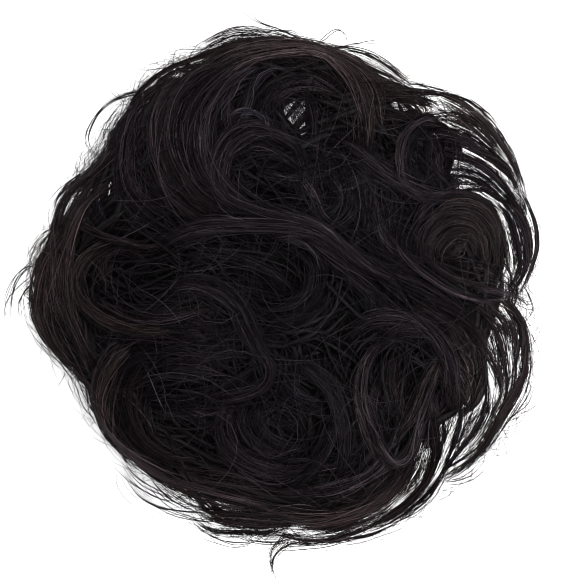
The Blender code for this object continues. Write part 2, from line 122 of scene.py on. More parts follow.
# Locks of hair: the solid that they stand for, how many strands, width and thickness in mm,
# depth under the top of the hair, hue and tone (the hair's own colour with painted sheen, painted shade
# and painted light shining through the edge hair), whether it hangs free (1), is made of single
# hairs (2) or of the finest single hairs (3), and its route.
LOCK = namedtuple("LOCK", "node count width thick depth hue tone free route")
LOCKS = [
    LOCK("left_outer_sweep", 120, 13, 3, 3, "brown", "bright", 0, [(74, 215), (50, 252), (42, 288), (45, 318), (60, 350), (88, 388)]),
    LOCK("left_outer_sweep", 80, 9, 3, 1.5, "brown", "bright", 0, [(60, 232), (42, 262), (34, 292), (35, 318), (50, 345), (75, 378)]),
    LOCK("left_inner_sweep", 150, 12, 3, 1.8, "brown", "sheen", 0, [(112, 175), (84, 205), (70, 242), (66, 283), (74, 322), (95, 365)]),
    LOCK("left_inner_sweep", 90, 8, 2.5, 1, "brown", "bright", 0, [(98, 165), (70, 190), (55, 225), (53, 262), (56, 300), (68, 340)]),
    LOCK("left_inner_sweep", 60, 7, 2.5, 0.5, "brown", "plain", 0, [(84, 222), (62, 245), (58, 275), (64, 310), (80, 345), (100, 385)]),
    LOCK("left_whorl", 110, 7, 2.5, 0.5, "brown", "plain", 0, [(118, 238), (92, 252), (77, 272), (78, 296), (98, 316), (128, 328), (160, 330), (188, 322)]),
    LOCK("left_whorl", 80, 6, 2.5, 1, "warm", "plain", 0, [(90, 290), (104, 306), (130, 318), (162, 318), (196, 310), (220, 305)]),
    LOCK("left_whorl", 80, 6, 2.5, 1.2, "warm", "plain", 0, [(60, 228), (82, 232), (100, 240), (122, 247), (146, 250), (170, 243)]),
    LOCK("left_whorl", 50, 5, 2, 2.5, "warm", "dark", 0, [(120, 290), (104, 280), (104, 262), (118, 252), (138, 256), (150, 270)]),
    LOCK("left_edge_fall", 130, 12, 3, 2.5, "plain", "plain", 0, [(152, 92), (132, 116), (122, 150), (124, 180), (138, 206), (164, 228)]),
    LOCK("left_edge_fall", 90, 9, 2.5, 2, "plain", "bright", 0, [(140, 100), (120, 125), (108, 150), (96, 168), (78, 185), (60, 205)]),
    LOCK("left_edge_fall", 60, 8, 2.5, 1.5, "plain", "dim", 0, [(135, 115), (128, 145), (132, 175), (150, 200), (180, 215)]),
    LOCK("upper_left_fall", 170, 12, 3, 1.5, "warm", "plain", 0, [(215, 66), (180, 88), (162, 120), (160, 152), (172, 185), (198, 212), (232, 224)]),
    LOCK("upper_left_fall", 110, 8, 2.5, 1, "warm", "plain", 0, [(232, 58), (196, 74), (172, 100), (166, 135), (176, 170), (196, 198), (224, 215)]),
    LOCK("upper_left_fall", 50, 5, 2, 0.5, "warm", "plain", 0, [(170, 85), (155, 108), (153, 135), (158, 160), (170, 185), (186, 203)]),
    LOCK("upper_middle_fall", 170, 12, 3, 1, "plain", "sheen", 0, [(270, 64), (232, 80), (206, 110), (200, 146), (212, 178), (236, 202), (264, 218)]),
    LOCK("upper_middle_fall", 110, 8, 2.5, 0.6, "warm", "plain", 0, [(255, 60), (222, 74), (196, 100), (186, 135), (194, 168), (212, 195), (238, 214)]),
    LOCK("upper_middle_fall", 70, 5, 2, 0.4, "cool", "bright", 0, [(280, 62), (258, 74), (247, 95), (241, 118), (232, 135)]),
    LOCK("upper_middle_fall", 60, 5, 2, 0.6, "plain", "sheen", 0, [(262, 62), (238, 76), (224, 100), (226, 122), (236, 136)]),
    LOCK("top_arch", 200, 11, 3, 0.8, "brown", "bright", 0, [(374, 140), (370, 110), (358, 80), (332, 58), (298, 48), (262, 50), (228, 60), (196, 80)]),
    LOCK("top_arch", 140, 8, 3, 1.2, "brown", "bright", 0, [(368, 96), (350, 66), (315, 46), (275, 42), (238, 48), (205, 60), (176, 78)]),
    LOCK("top_arch", 80, 6, 2, 0.5, "brown", "bright", 0, [(350, 72), (322, 55), (288, 54), (256, 60), (230, 76), (214, 98)]),
    LOCK("top_arch", 60, 6, 2.5, 2, "brown", "bright", 0, [(392, 88), (358, 62), (320, 46), (285, 40), (250, 42)]),
    LOCK("top_arch", 70, 6, 2.5, 1, "brown", "bright", 0, [(345, 62), (362, 84), (369, 112), (370, 140), (366, 160)]),
    LOCK("inner_arch", 90, 5, 2, 3.5, "plain", "sheen", 0, [(346, 128), (342, 102), (322, 85), (294, 84), (272, 95), (262, 115), (260, 138)]),
    LOCK("inner_arch", 50, 3, 2, 4.5, "plain", "sheen", 0, [(342, 116), (322, 90), (290, 88), (270, 104), (266, 128)]),
    LOCK("inner_arch", 60, 4, 2, 5.5, "plain", "dim", 0, [(352, 98), (332, 74), (302, 66), (274, 74), (256, 94)]),
    LOCK("inner_arch", 50, 5, 2.5, 5, "cool", "dark", 0, [(320, 94), (318, 116), (315, 140), (310, 165)]),
    LOCK("inner_arch", 40, 5, 2.5, 5, "cool", "dim", 0, [(334, 106), (328, 130), (322, 158)]),
    LOCK("inner_arch", 50, 5, 2.5, 5.5, "plain", "dim", 0, [(274, 102), (272, 124), (282, 146), (296, 160)]),
    LOCK("centre_left_curl", 120, 7, 2.5, 0.3, "plain", "plain", 0, [(286, 140), (260, 128), (238, 135), (224, 152), (220, 175), (228, 196), (246, 212)]),
    LOCK("centre_left_curl", 70, 5, 2, 0.5, "plain", "dim", 0, [(240, 132), (262, 131), (284, 139), (300, 156), (304, 178), (298, 196)]),
    LOCK("centre_left_curl", 50, 4, 2, 0.8, "cool", "sheen", 0, [(228, 124), (238, 115), (252, 114), (264, 122), (272, 136)]),
    LOCK("centre_left_curl", 60, 6, 2.5, 1.2, "plain", "dim", 0, [(236, 150), (258, 146), (282, 152), (300, 168), (318, 178)]),
    LOCK("crown_net", 90, 9, 2.5, 2.5, "cool", "plain", 0, [(318, 140), (333, 162), (342, 188), (340, 206), (326, 218), (306, 218)]),
    LOCK("crown_net", 70, 5, 2, 1.2, "plain", "sheen", 0, [(282, 174), (298, 179), (308, 196), (317, 214), (334, 226)]),
    LOCK("crown_net", 60, 7, 2.5, 2, "plain", "dim", 0, [(248, 160), (272, 170), (298, 174), (324, 168), (350, 160)]),
    LOCK("crown_net", 60, 7, 2.5, 2, "cool", "plain", 0, [(330, 205), (346, 190), (362, 182), (388, 178)]),
    LOCK("long_centre_lock", 110, 5, 2.5, 0.3, "plain", "plain", 0, [(150, 252), (172, 238), (200, 228), (240, 225), (280, 226), (312, 232), (338, 248), (362, 268), (392, 280)]),
    LOCK("long_centre_lock", 84, 3.6, 2.5, 0.2, "plain", "sheen", 0, [(212, 180), (232, 200), (262, 212), (294, 220), (322, 229), (346, 248), (370, 268), (400, 284)]),
    LOCK("long_centre_lock", 60, 2.8, 2.5, 0, "plain", "bright", 0, [(252, 196), (276, 206), (302, 216), (326, 228), (350, 250), (378, 272), (410, 286)]),
    LOCK("long_centre_lock", 70, 5, 2, 0.5, "plain", "sheen", 0, [(262, 232), (290, 235), (312, 246), (324, 264), (326, 284)]),
    LOCK("long_centre_lock", 50, 3.4, 2, 0.6, "plain", "dim", 0, [(300, 236), (318, 248), (338, 262), (358, 278), (376, 296), (392, 314)]),
    LOCK("centre_whorl", 90, 8, 2.5, 2.5, "cool", "dim", 0, [(298, 242), (316, 262), (316, 290), (300, 310), (272, 316), (248, 304)]),
    LOCK("centre_whorl", 60, 6, 2, 3, "plain", "dark", 0, [(206, 258), (232, 262), (258, 270), (280, 284), (292, 300)]),
    LOCK("centre_whorl", 60, 6, 2, 2.5, "cool", "dark", 0, [(332, 282), (325, 304), (304, 318), (278, 322), (258, 314)]),
    LOCK("centre_whorl", 40, 6, 2, 3.5, "plain", "hole", 0, [(224, 268), (240, 288), (262, 302)]),
    LOCK("centre_whorl", 50, 5, 2, 2, "plain", "dark", 0, [(176, 258), (205, 256), (236, 262), (262, 272)]),
    LOCK("middle_right_stream", 84, 7, 2.5, 3.2, "cool", "dark", 0, [(322, 244), (346, 264), (368, 286), (392, 308), (420, 324), (452, 342), (474, 362)]),
    LOCK("middle_right_stream", 40, 3.2, 2.5, 1.8, "plain", "dim", 0, [(338, 240), (362, 258), (390, 276), (424, 294), (456, 312), (480, 334), (494, 358)]),
    LOCK("middle_right_stream", 60, 6, 2.5, 2.5, "cool", "dim", 0, [(330, 270), (350, 282), (366, 300), (372, 322)]),
    LOCK("right_net", 90, 9, 2.5, 2.5, "plain", "plain", 0, [(387, 160), (380, 185), (381, 212), (392, 236), (414, 252), (440, 260)]),
    LOCK("right_net", 60, 6, 2.5, 2, "cool", "plain", 0, [(350, 172), (362, 196), (366, 222), (362, 246)]),
    LOCK("right_net", 50, 6, 2.5, 2, "plain", "dark", 0, [(398, 180), (396, 205), (394, 230), (400, 250)]),
    LOCK("upper_right_lock", 130, 6, 2.5, 0.3, "plain", "sheen", 0, [(336, 134), (356, 148), (378, 166), (400, 182), (422, 194), (446, 198), (468, 192)]),
    LOCK("upper_right_lock", 70, 4, 2, 0.5, "cool", "dim", 0, [(344, 158), (362, 168), (384, 182), (404, 192)]),
    LOCK("right_top_curl", 90, 4, 2, 0.8, "warm", "sheen", 0, [(446, 117), (424, 120), (408, 132), (401, 154), (403, 178), (418, 194), (440, 199)]),
    LOCK("right_top_curl", 50, 3, 2, 1, "plain", "plain", 0, [(424, 126), (412, 142), (408, 162), (412, 182)]),
    LOCK("right_top_curl", 60, 8, 2.5, 3, "plain", "plain", 0, [(430, 130), (432, 150), (432, 172), (440, 190)]),
    LOCK("right_top_curl", 16, 2, 1.5, 1, "plain", "sheen", 2, [(455, 124), (458, 148), (458, 172), (452, 190), (436, 200)]),
    LOCK("right_top_curl", 40, 3, 1.5, 0.8, "plain", "bright", 0, [(410, 236), (424, 210), (446, 194), (470, 194), (494, 204), (512, 218)]),
    LOCK("right_round_curl", 56, 8, 2.5, 2.0, "brown", "plain", 0, [(420, 232), (444, 212), (470, 206), (490, 220), (499, 244), (500, 266), (486, 284)]),
    LOCK("right_round_curl", 40, 8, 2.5, 2.6, "brown", "plain", 0, [(436, 240), (452, 226), (472, 224), (486, 240), (488, 262), (474, 278)]),
    LOCK("right_round_curl", 30, 6, 2, 2.2, "brown", "plain", 0, [(446, 262), (470, 266), (490, 272), (504, 282)]),
    LOCK("right_round_curl", 44, 2.4, 2, 1.2, "brown", "plain", 0, [(470, 197), (487, 203), (496, 216), (501, 233), (505, 251), (507, 268), (502, 284)]),
    LOCK("pointed_lock", 74, 2.8, 2.5, 0.2, "plain", "bright", 0, [(394, 232), (404, 254), (424, 272), (452, 290), (480, 298), (505, 299), (524, 304)]),
    LOCK("pointed_lock", 40, 2.2, 2, 0.9, "warm", "sheen", 0, [(412, 236), (424, 256), (446, 274), (472, 284), (496, 292), (514, 299)]),
    LOCK("pointed_lock", 34, 3.4, 2, 1.4, "plain", "dim", 0, [(372, 254), (398, 270), (424, 280), (450, 296), (474, 316)]),
    LOCK("right_upper_outer", 60, 6, 2.5, 2, "brown", "bright", 0, [(345, 58), (368, 72), (392, 84), (414, 92)]),
    LOCK("right_upper_middle", 40, 6, 2.5, 4.5, "brown", "bright", 0, [(384, 116), (408, 118), (430, 118), (448, 124)]),
    LOCK("lower_right_arc", 110, 7, 2.5, 1.5, "plain", "plain", 0, [(345, 338), (366, 321), (396, 317), (426, 329), (446, 354), (452, 388), (450, 418)]),
    LOCK("lower_right_arc", 70, 5, 2, 1.2, "warm", "sheen", 0, [(378, 346), (396, 333), (420, 331), (436, 342), (446, 364), (456, 396), (458, 422)]),
    LOCK("lower_right_arc", 60, 6, 2.5, 2, "warm", "plain", 0, [(402, 296), (430, 312), (458, 330), (476, 352), (484, 378)]),
    LOCK("lower_right_arc", 70, 8, 2.5, 2.2, "brown", "sheen", 0, [(424, 330), (444, 350), (462, 376), (468, 402), (460, 424)]),
    LOCK("lower_right_u_curl", 90, 5, 2, 0.3, "warm", "sheen", 0, [(386, 338), (370, 358), (361, 384), (363, 410), (371, 436), (380, 458), (394, 467)]),
    LOCK("lower_right_u_curl", 80, 4, 2, 0.3, "warm", "sheen", 0, [(371, 420), (379, 448), (394, 464), (410, 456), (419, 432), (428, 402), (442, 372)]),
    LOCK("lower_right_u_curl", 60, 5, 2, 1, "brown", "sheen", 0, [(444, 356), (430, 378), (418, 404), (404, 426), (394, 442)]),
    LOCK("lower_right_u_curl", 60, 6, 2, 2, "warm", "dim", 0, [(392, 350), (390, 380), (396, 410), (398, 438)]),
    LOCK("lower_right_u_curl", 50, 4, 2, 1, "warm", "plain", 0, [(380, 376), (373, 404), (378, 430), (384, 452)]),
    LOCK("bottom_middle_lock", 110, 8, 2.5, 1.5, "brown", "bright", 0, [(412, 448), (402, 476), (380, 496), (348, 510), (312, 515), (276, 510), (240, 500)]),
    LOCK("bottom_middle_lock", 70, 4, 2, 1, "brown", "bright", 0, [(414, 462), (402, 484), (386, 500), (362, 513), (335, 521), (305, 525), (285, 522)]),
    LOCK("bottom_middle_lock", 70, 6, 2.5, 1.5, "warm", "plain", 0, [(394, 440), (376, 466), (352, 482), (322, 490), (290, 492)]),
    LOCK("bottom_middle_lock", 60, 5, 2, 1.2, "plain", "bright", 0, [(428, 384), (432, 410), (431, 436), (422, 460)]),
    LOCK("lower_middle_lock", 110, 6, 2.5, 0.3, "plain", "plain", 0, [(288, 358), (316, 371), (334, 390), (344, 418), (347, 446), (342, 472), (330, 488)]),
    LOCK("lower_middle_lock", 60, 4, 2, 0.6, "plain", "sheen", 0, [(326, 384), (338, 404), (343, 430), (342, 456)]),
    LOCK("lower_middle_lock", 60, 6, 2.5, 2, "cool", "dim", 0, [(276, 372), (288, 392), (308, 404), (334, 412)]),
    LOCK("lower_centre_whorl", 120, 8, 2.5, 1, "plain", "dim", 0, [(236, 398), (224, 420), (230, 446), (252, 464), (284, 472), (314, 466)]),
    LOCK("lower_centre_whorl", 80, 5, 2, 0.8, "plain", "dark", 0, [(246, 398), (240, 420), (248, 440), (268, 454), (296, 460)]),
    LOCK("lower_centre_whorl", 60, 5, 2, 1.2, "plain", "dark", 0, [(258, 398), (256, 420), (268, 438), (290, 448), (312, 448)]),
    LOCK("lower_centre_whorl", 60, 6, 2.5, 1.5, "plain", "dim", 0, [(330, 414), (326, 440), (314, 462), (298, 480), (280, 494)]),
    LOCK("lower_centre_whorl", 50, 8, 2.5, 3.5, "plain", "dark", 0, [(262, 404), (282, 412), (300, 426), (304, 444)]),
    LOCK("s_curl", 150, 7, 2.5, 0.3, "plain", "plain", 0, [(160, 290), (190, 282), (216, 289), (238, 306), (249, 330), (260, 352), (269, 370)]),
    LOCK("s_curl", 90, 4, 2, 0.2, "plain", "dim", 0, [(236, 300), (248, 326), (258, 350), (270, 368), (264, 386), (244, 396), (218, 400), (196, 397)]),
    LOCK("s_curl", 60, 5, 2, 1, "plain", "plain", 0, [(200, 285), (226, 300), (240, 324), (246, 348)]),
    LOCK("lower_left_cross", 90, 9, 2.5, 2, "plain", "dark", 0, [(130, 398), (156, 406), (186, 406), (214, 398), (236, 386), (254, 370)]),
    LOCK("lower_left_cross", 60, 7, 2.5, 2, "plain", "dim", 0, [(150, 350), (176, 348), (204, 352), (232, 350), (250, 342)]),
    LOCK("lower_left_cross", 60, 7, 2.5, 2, "plain", "dark", 0, [(176, 410), (200, 420), (226, 424), (240, 436)]),
    LOCK("middle_left_swell", 120, 12, 3, 2, "plain", "dark", 0, [(112, 352), (138, 342), (170, 338), (204, 338), (232, 330), (246, 318)]),
    LOCK("middle_left_swell", 70, 8, 2.5, 1.5, "warm", "dark", 0, [(170, 330), (192, 322), (208, 330), (212, 348)]),
    LOCK("middle_left_swell", 80, 8, 2.5, 2.5, "plain", "dark", 0, [(150, 372), (176, 366), (204, 370), (232, 380)]),
    LOCK("lower_left_lock", 150, 12, 3, 1.5, "brown", "bright", 0, [(128, 342), (108, 366), (100, 396), (106, 428), (126, 452), (160, 468)]),
    LOCK("lower_left_lock", 80, 8, 2.5, 1.2, "warm", "dark", 0, [(148, 356), (132, 382), (130, 410), (140, 436), (166, 456), (200, 468)]),
    LOCK("lower_left_lock", 60, 6, 2.5, 1, "warm", "dim", 0, [(145, 392), (143, 412), (148, 434), (158, 452)]),
    LOCK("lower_left_edge", 120, 10, 3, 2, "brown", "bright", 0, [(84, 378), (98, 412), (120, 444), (150, 468), (186, 486), (226, 496)]),
    LOCK("lower_left_edge", 90, 7, 2.5, 1.5, "brown", "plain", 0, [(168, 460), (200, 474), (235, 480), (262, 492), (284, 506)]),
    LOCK("lower_left_edge", 80, 6, 2.5, 1.2, "brown", "bright", 0, [(140, 462), (165, 480), (196, 491), (228, 500), (262, 508), (292, 514)]),
    # hair that fills the round curl at the upper right and the places beside the opening under the arch
    LOCK("right_top_curl", 90, 12, 3, 3.5, "plain", "dark", 0, [(434, 122), (431, 146), (431, 168), (440, 192)]),
    LOCK("right_top_curl", 80, 9, 3, 4.0, "warm", "dark", 0, [(444, 126), (446, 142), (441, 158), (436, 176), (440, 192)]),
    LOCK("right_top_curl", 50, 5, 3, 4.0, "warm", "dark", 0, [(436, 132), (452, 138), (458, 150), (450, 158)]),
    LOCK("right_top_curl", 40, 5, 3, 4.0, "warm", "dark", 0, [(434, 182), (446, 178), (456, 182), (462, 190)]),
    LOCK("right_upper_outer", 100, 9, 3, 3.0, "brown", "dim", 0, [(352, 74), (376, 84), (400, 90), (424, 98), (438, 110)]),
    LOCK("right_upper_outer", 70, 7, 3, 3.5, "brown", "dark", 0, [(362, 96), (380, 98), (404, 96), (420, 104), (430, 118)]),
    LOCK("right_upper_middle", 70, 6, 2.5, 3.0, "brown", "dark", 0, [(404, 122), (424, 121), (444, 125), (462, 133)]),
    LOCK("right_upper_outer", 60, 6, 3, 3.5, "warm", "dark", 0, [(366, 112), (386, 118), (408, 118), (428, 122)]),
    LOCK("inner_arch", 70, 8, 3, 4.0, "plain", "dark", 0, [(312, 88), (314, 110), (320, 134), (326, 160)]),
    LOCK("inner_arch", 60, 7, 3, 4.0, "plain", "dark", 0, [(330, 92), (336, 114), (338, 138), (336, 160)]),
    LOCK("inner_arch", 70, 8, 3, 4.0, "plain", "dark", 0, [(282, 88), (276, 108), (280, 130), (294, 154)]),
    LOCK("inner_arch", 20, 3, 2, 3.0, "cool", "plain", 0, [(310, 92), (312, 110), (314, 128), (318, 148)]),
    LOCK("inner_arch", 14, 3, 2, 3.0, "cool", "sheen", 0, [(284, 98), (280, 112), (282, 128), (290, 144)]),
    LOCK("right_round_curl", 150, 9.0, 2.0, 1.4, "brown", "bright", 3, [(430, 226), (452, 214), (474, 218), (488, 236), (490, 260)]),
    LOCK("right_round_curl", 110, 9.0, 2.0, 1.4, "brown", "bright", 3, [(436, 268), (438, 246), (450, 232), (468, 232), (480, 248)]),
    LOCK("right_round_curl", 110, 10.0, 2.0, 1.4, "plain", "bright", 3, [(420, 262), (430, 240), (446, 224), (466, 216)]),
    LOCK("inner_arch", 34, 2.2, 1.6, 3.0, "plain", "sheen", 3, [(284, 104), (292, 110), (300, 114), (308, 116)]),
    LOCK("inner_arch", 26, 3.0, 1.6, 3.0, "plain", "sheen", 3, [(306, 98), (299, 108), (293, 120), (290, 130)]),
    LOCK("right_lower_inner", 54, 2.6, 1.8, 2.5, "brown", "dark", 1, [(488, 322), (494, 340), (497, 358), (498, 376), (496, 392)]),
    LOCK("right_lower_inner", 44, 2.4, 1.8, 2.5, "brown", "dark", 1, [(496, 362), (500, 380), (499, 398), (492, 414), (483, 430)]),
    LOCK("lower_right_arc", 60, 3.2, 1.8, 2.5, "brown", "dark", 1, [(462, 404), (462, 424), (456, 444), (448, 462), (440, 474)]),
    LOCK("right_rim_loop", 40, 3.0, 1.8, 2.5, "brown", "dark", 1, [(500, 262), (507, 270), (511, 280), (509, 292)]),
    LOCK("right_upper_outer", 40, 2.6, 1.6, 1.0, "brown", "dark", 1, [(346, 50), (366, 56), (386, 66), (402, 78), (416, 88)]),
    LOCK("top_arch", 40, 3.0, 1.6, 1.0, "brown", "dark", 3, [(196, 52), (214, 42), (236, 34), (258, 34), (280, 40)]),
    LOCK("bottom_edge", 30, 3.2, 1.4, 1.6, "brown", "dark", 2, [(300, 533), (276, 536), (252, 534), (232, 528)]),
    LOCK("inner_arch", 24, 3.4, 1.6, 3.0, "plain", "sheen", 3, [(280, 100), (290, 104), (300, 106), (312, 104)]),
    LOCK("inner_arch", 20, 3.4, 1.6, 3.4, "plain", "sheen", 3, [(280, 112), (290, 117), (300, 120), (312, 119)]),
    LOCK("inner_arch", 26, 3.4, 1.6, 3.8, "plain", "sheen", 3, [(284, 124), (293, 129), (303, 130), (314, 126)]),
    LOCK("inner_arch", 20, 3.6, 1.6, 3.2, "plain", "sheen", 3, [(309, 92), (302, 106), (297, 120), (296, 134)]),
    LOCK("inner_arch", 18, 3.4, 1.6, 3.6, "plain", "sheen", 3, [(282, 94), (288, 106), (296, 118), (306, 130)]),
    # loops at the upper right
    LOCK("right_upper_outer", 150, 3.0, 2.0, 1.0, "brown", "plain", 1, [(388, 90), (420, 93), (440, 95), (456, 101), (470, 110), (482, 121), (493, 133), (503, 147), (511, 161), (518, 175), (524, 190), (526, 204)]),
    LOCK("right_upper_outer", 26, 1.0, 1.0, 0.5, "plain", "dark", 1, [(436, 91), (456, 96), (470, 103), (482, 112), (493, 124), (503, 138), (512, 154), (519, 171)]),
    LOCK("right_upper_outer", 8, 1.8, 1.0, 0.5, "warm", "dark", 2, [(398, 82), (420, 86), (440, 90), (454, 96)]),
    LOCK("right_upper_outer", 60, 3.6, 1.6, 2.0, "brown", "bright", 2, [(440, 98), (456, 106), (470, 116), (483, 127), (494, 140), (503, 153)]),
    LOCK("right_upper_outer", 60, 5.0, 2.4, 2.5, "brown", "plain", 0, [(378, 96), (400, 98), (424, 100), (446, 108)]),
    LOCK("right_upper_middle", 34, 1.2, 1.2, 1.5, "plain", "dark", 1, [(404, 128), (412, 121), (426, 117), (441, 114), (457, 115), (471, 119), (483, 126), (493, 136), (501, 147), (508, 159)]),
    LOCK("right_upper_middle", 80, 4.6, 1.6, 2.0, "brown", "plain", 2, [(440, 118), (458, 122), (474, 129), (486, 138), (497, 149), (506, 161)]),
    LOCK("right_upper_middle", 210, 6.0, 2.4, 2.5, "warm", "dark", 1, [(420, 134), (442, 134), (458, 138), (471, 144), (484, 152), (496, 161), (507, 171), (515, 184), (521, 200)]),
    LOCK("right_upper_inner", 150, 4.4, 2.2, 3.5, "warm", "dark", 1, [(428, 150), (449, 154), (464, 159), (478, 165), (490, 173), (501, 184), (511, 196), (518, 210)]),
    LOCK("right_upper_inner", 30, 1.2, 1.4, 3.5, "plain", "dark", 1, [(436, 172), (452, 169), (468, 170), (482, 175), (494, 184), (505, 195), (514, 208)]),
    LOCK("right_upper_inner", 46, 1.7, 1.4, 3.5, "plain", "dark", 1, [(440, 178), (462, 177), (478, 181), (490, 188), (501, 197), (511, 208)]),
    LOCK("right_upper_inner", 40, 1.6, 1.4, 3.5, "plain", "dark", 1, [(444, 186), (466, 184), (480, 187), (492, 194), (503, 203)]),
    LOCK("right_upper_inner", 50, 2.0, 1.4, 3.5, "plain", "dark", 1, [(446, 193), (468, 190), (484, 191), (497, 198), (509, 208), (517, 222)]),
    LOCK("right_upper_inner", 50, 6.0, 2.0, 4.0, "plain", "dark", 2, [(440, 160), (462, 168), (480, 176), (496, 188), (510, 202)]),
    # loops down the right side
    LOCK("right_rim_loop", 90, 2.4, 1.4, 2.0, "plain", "dark", 1, [(492, 199), (503, 211), (510, 223), (515, 238), (518, 252), (519, 266), (514, 280), (506, 292)]),
    LOCK("right_rim_loop", 190, 4.4, 2.2, 2.0, "brown", "dark", 1, [(502, 194), (514, 206), (522, 221), (527, 238), (527, 254), (524, 268), (517, 281), (508, 293)]),
    LOCK("right_rim_loop", 70, 1.8, 1.6, 1.0, "brown", "plain", 1, [(520, 190), (529, 208), (535, 225), (537, 241), (535, 256), (530, 271), (524, 285), (515, 299)]),
    LOCK("right_rim_loop", 100, 4.5, 1.6, 2.0, "plain", "plain", 2, [(504, 200), (514, 216), (520, 234), (523, 252), (521, 268), (514, 284)]),
    LOCK("right_rim_loop", 60, 6.0, 2.0, 2.5, "warm", "dark", 2, [(500, 192), (511, 199), (519, 208), (524, 220)]),
    LOCK("right_rim_loop", 60, 4.0, 2.0, 2.5, "warm", "dark", 2, [(508, 276), (511, 286), (511, 298), (508, 312)]),
    LOCK("pointed_lock", 50, 4.0, 2.0, 0.8, "warm", "sheen", 1, [(470, 288), (494, 292), (511, 297), (529, 306)]),
    LOCK("pointed_lock", 20, 5.0, 2.0, 1.2, "warm", "sheen", 1, [(488, 278), (504, 287), (516, 294), (530, 299)]),
    # loops at the lower right
    LOCK("right_lower_outer", 210, 4.6, 2.4, 1.5, "brown", "dim", 1, [(484, 294), (504, 303), (517, 318), (524, 338), (525, 358), (522, 378), (512, 398), (501, 415), (492, 432), (482, 448), (469, 462), (454, 473), (440, 481)]),
    LOCK("right_lower_outer", 12, 0.8, 0.8, 0.6, "warm", "dark", 1, [(524, 330), (530, 350), (530, 370), (527, 388), (517, 408), (506, 425), (497, 438), (487, 450)]),
    LOCK("right_lower_outer", 26, 1.6, 1.2, 1.0, "brown", "plain", 1, [(496, 424), (487, 440), (475, 455), (459, 468), (444, 477), (434, 484)]),
    LOCK("right_lower_outer", 22, 1.2, 1.2, 1.6, "brown", "dark", 1, [(490, 430), (478, 446), (465, 457), (452, 465), (440, 474)]),
    LOCK("right_lower_outer", 50, 3.0, 1.2, 0.6, "warm", "sheen", 2, [(500, 302), (511, 316), (517, 332), (517, 350), (514, 366)]),
    LOCK("right_lower_inner", 120, 4.6, 1.8, 2.0, "brown", "plain", 1, [(470, 298), (486, 306), (498, 318), (506, 332), (509, 346)]),
    LOCK("right_lower_inner", 90, 3.2, 2.0, 2.5, "brown", "dim", 1, [(466, 318), (479, 336), (489, 354), (496, 369), (501, 385), (502, 402)]),
    LOCK("right_lower_inner", 90, 2.3, 2.0, 2.5, "brown", "dark", 1, [(474, 306), (488, 320), (497, 335), (501, 350), (504, 366), (506, 384), (504, 400), (497, 416), (489, 430)]),
    LOCK("right_lower_inner", 44, 1.7, 1.6, 2.0, "brown", "plain", 1, [(500, 310), (509, 326), (515, 344), (513, 362), (512, 380), (508, 398), (500, 414)]),
    LOCK("right_lower_inner", 66, 1.8, 1.4, 2.5, "plain", "dark", 1, [(476, 360), (486, 380), (488, 396), (485, 412), (477, 428), (467, 441), (458, 453), (447, 466), (439, 480), (428, 494), (412, 508), (396, 520)]),
    LOCK("right_lower_inner", 40, 4.0, 1.8, 2.5, "brown", "dark", 2, [(488, 392), (490, 408), (484, 424), (474, 440), (462, 452)]),
    LOCK("right_lower_inner", 60, 7.0, 1.8, 2.5, "warm", "plain", 3, [(484, 304), (500, 326), (508, 350), (510, 376), (504, 400)]),
    LOCK("lower_right_arc", 60, 7.0, 1.8, 2.5, "warm", "plain", 3, [(486, 384), (482, 408), (470, 430), (456, 450), (444, 468)]),
    LOCK("bottom_middle_lock", 60, 6.5, 1.8, 2.5, "warm", "plain", 3, [(430, 440), (422, 466), (408, 488), (388, 506)]),
    LOCK("right_upper_middle", 80, 7.0, 1.8, 2.5, "brown", "plain", 3, [(436, 106), (458, 113), (478, 126), (494, 143), (506, 162)]),
    LOCK("right_upper_inner", 60, 7.0, 1.8, 2.5, "plain", "dark", 3, [(440, 164), (462, 168), (482, 178), (500, 194), (512, 212)]),
    LOCK("right_rim_loop", 50, 4.0, 1.8, 2.5, "warm", "plain", 3, [(500, 206), (508, 224), (514, 244), (515, 264), (511, 282)]),
    LOCK("right_lower_inner", 5, 0.8, 0.8, 1.5, "plain", "dark", 1, [(462, 424), (470, 422), (478, 417), (486, 409)]),
    LOCK("lower_right_arc", 130, 9.0, 3.0, 2.0, "brown", "plain", 0, [(446, 318), (464, 338), (476, 358), (479, 380), (472, 402), (458, 420)]),
    LOCK("lower_right_arc", 90, 6.0, 2.6, 2.5, "brown", "dark", 0, [(460, 308), (476, 330), (482, 352), (482, 374), (475, 394)]),
    LOCK("lower_right_arc", 90, 9.0, 3.0, 3.0, "brown", "dark", 0, [(430, 360), (446, 380), (452, 402), (448, 424)]),
    LOCK("lower_right_arc", 56, 1.9, 1.5, 2.5, "plain", "dark", 1, [(459, 392), (461, 412), (459, 430), (455, 443), (449, 456), (441, 470)]),
    LOCK("lower_right_arc", 34, 1.5, 1.2, 3.0, "warm", "dark", 1, [(440, 410), (444, 430), (441, 448), (437, 462), (430, 477), (422, 488)]),
    LOCK("lower_right_arc", 22, 1.4, 1.2, 3.0, "warm", "plain", 1, [(474, 394), (470, 414), (462, 432), (450, 452)]),
    LOCK("lower_right_arc", 50, 5.0, 2.2, 3.0, "warm", "dark", 2, [(456, 400), (450, 418), (444, 434), (440, 452)]),
    LOCK("bottom_right_band", 160, 3.8, 2.6, 1.5, "brown", "dark", 1, [(427, 400), (434, 424), (436, 446), (434, 462), (428, 477), (419, 490), (406, 503), (392, 513), (372, 524), (346, 532)]),
    LOCK("bottom_right_band", 22, 1.1, 1.2, 1.0, "brown", "dark", 1, [(446, 462), (441, 474), (434, 486), (426, 496), (415, 506), (402, 515), (388, 524), (368, 533)]),
    LOCK("bottom_right_band", 40, 2.8, 1.2, 1.5, "brown", "plain", 2, [(440, 476), (431, 490), (419, 502), (403, 514), (384, 525)]),
    LOCK("bottom_middle_lock", 60, 5.5, 2.2, 2.5, "brown", "plain", 2, [(428, 444), (421, 468), (408, 488), (390, 505)]),
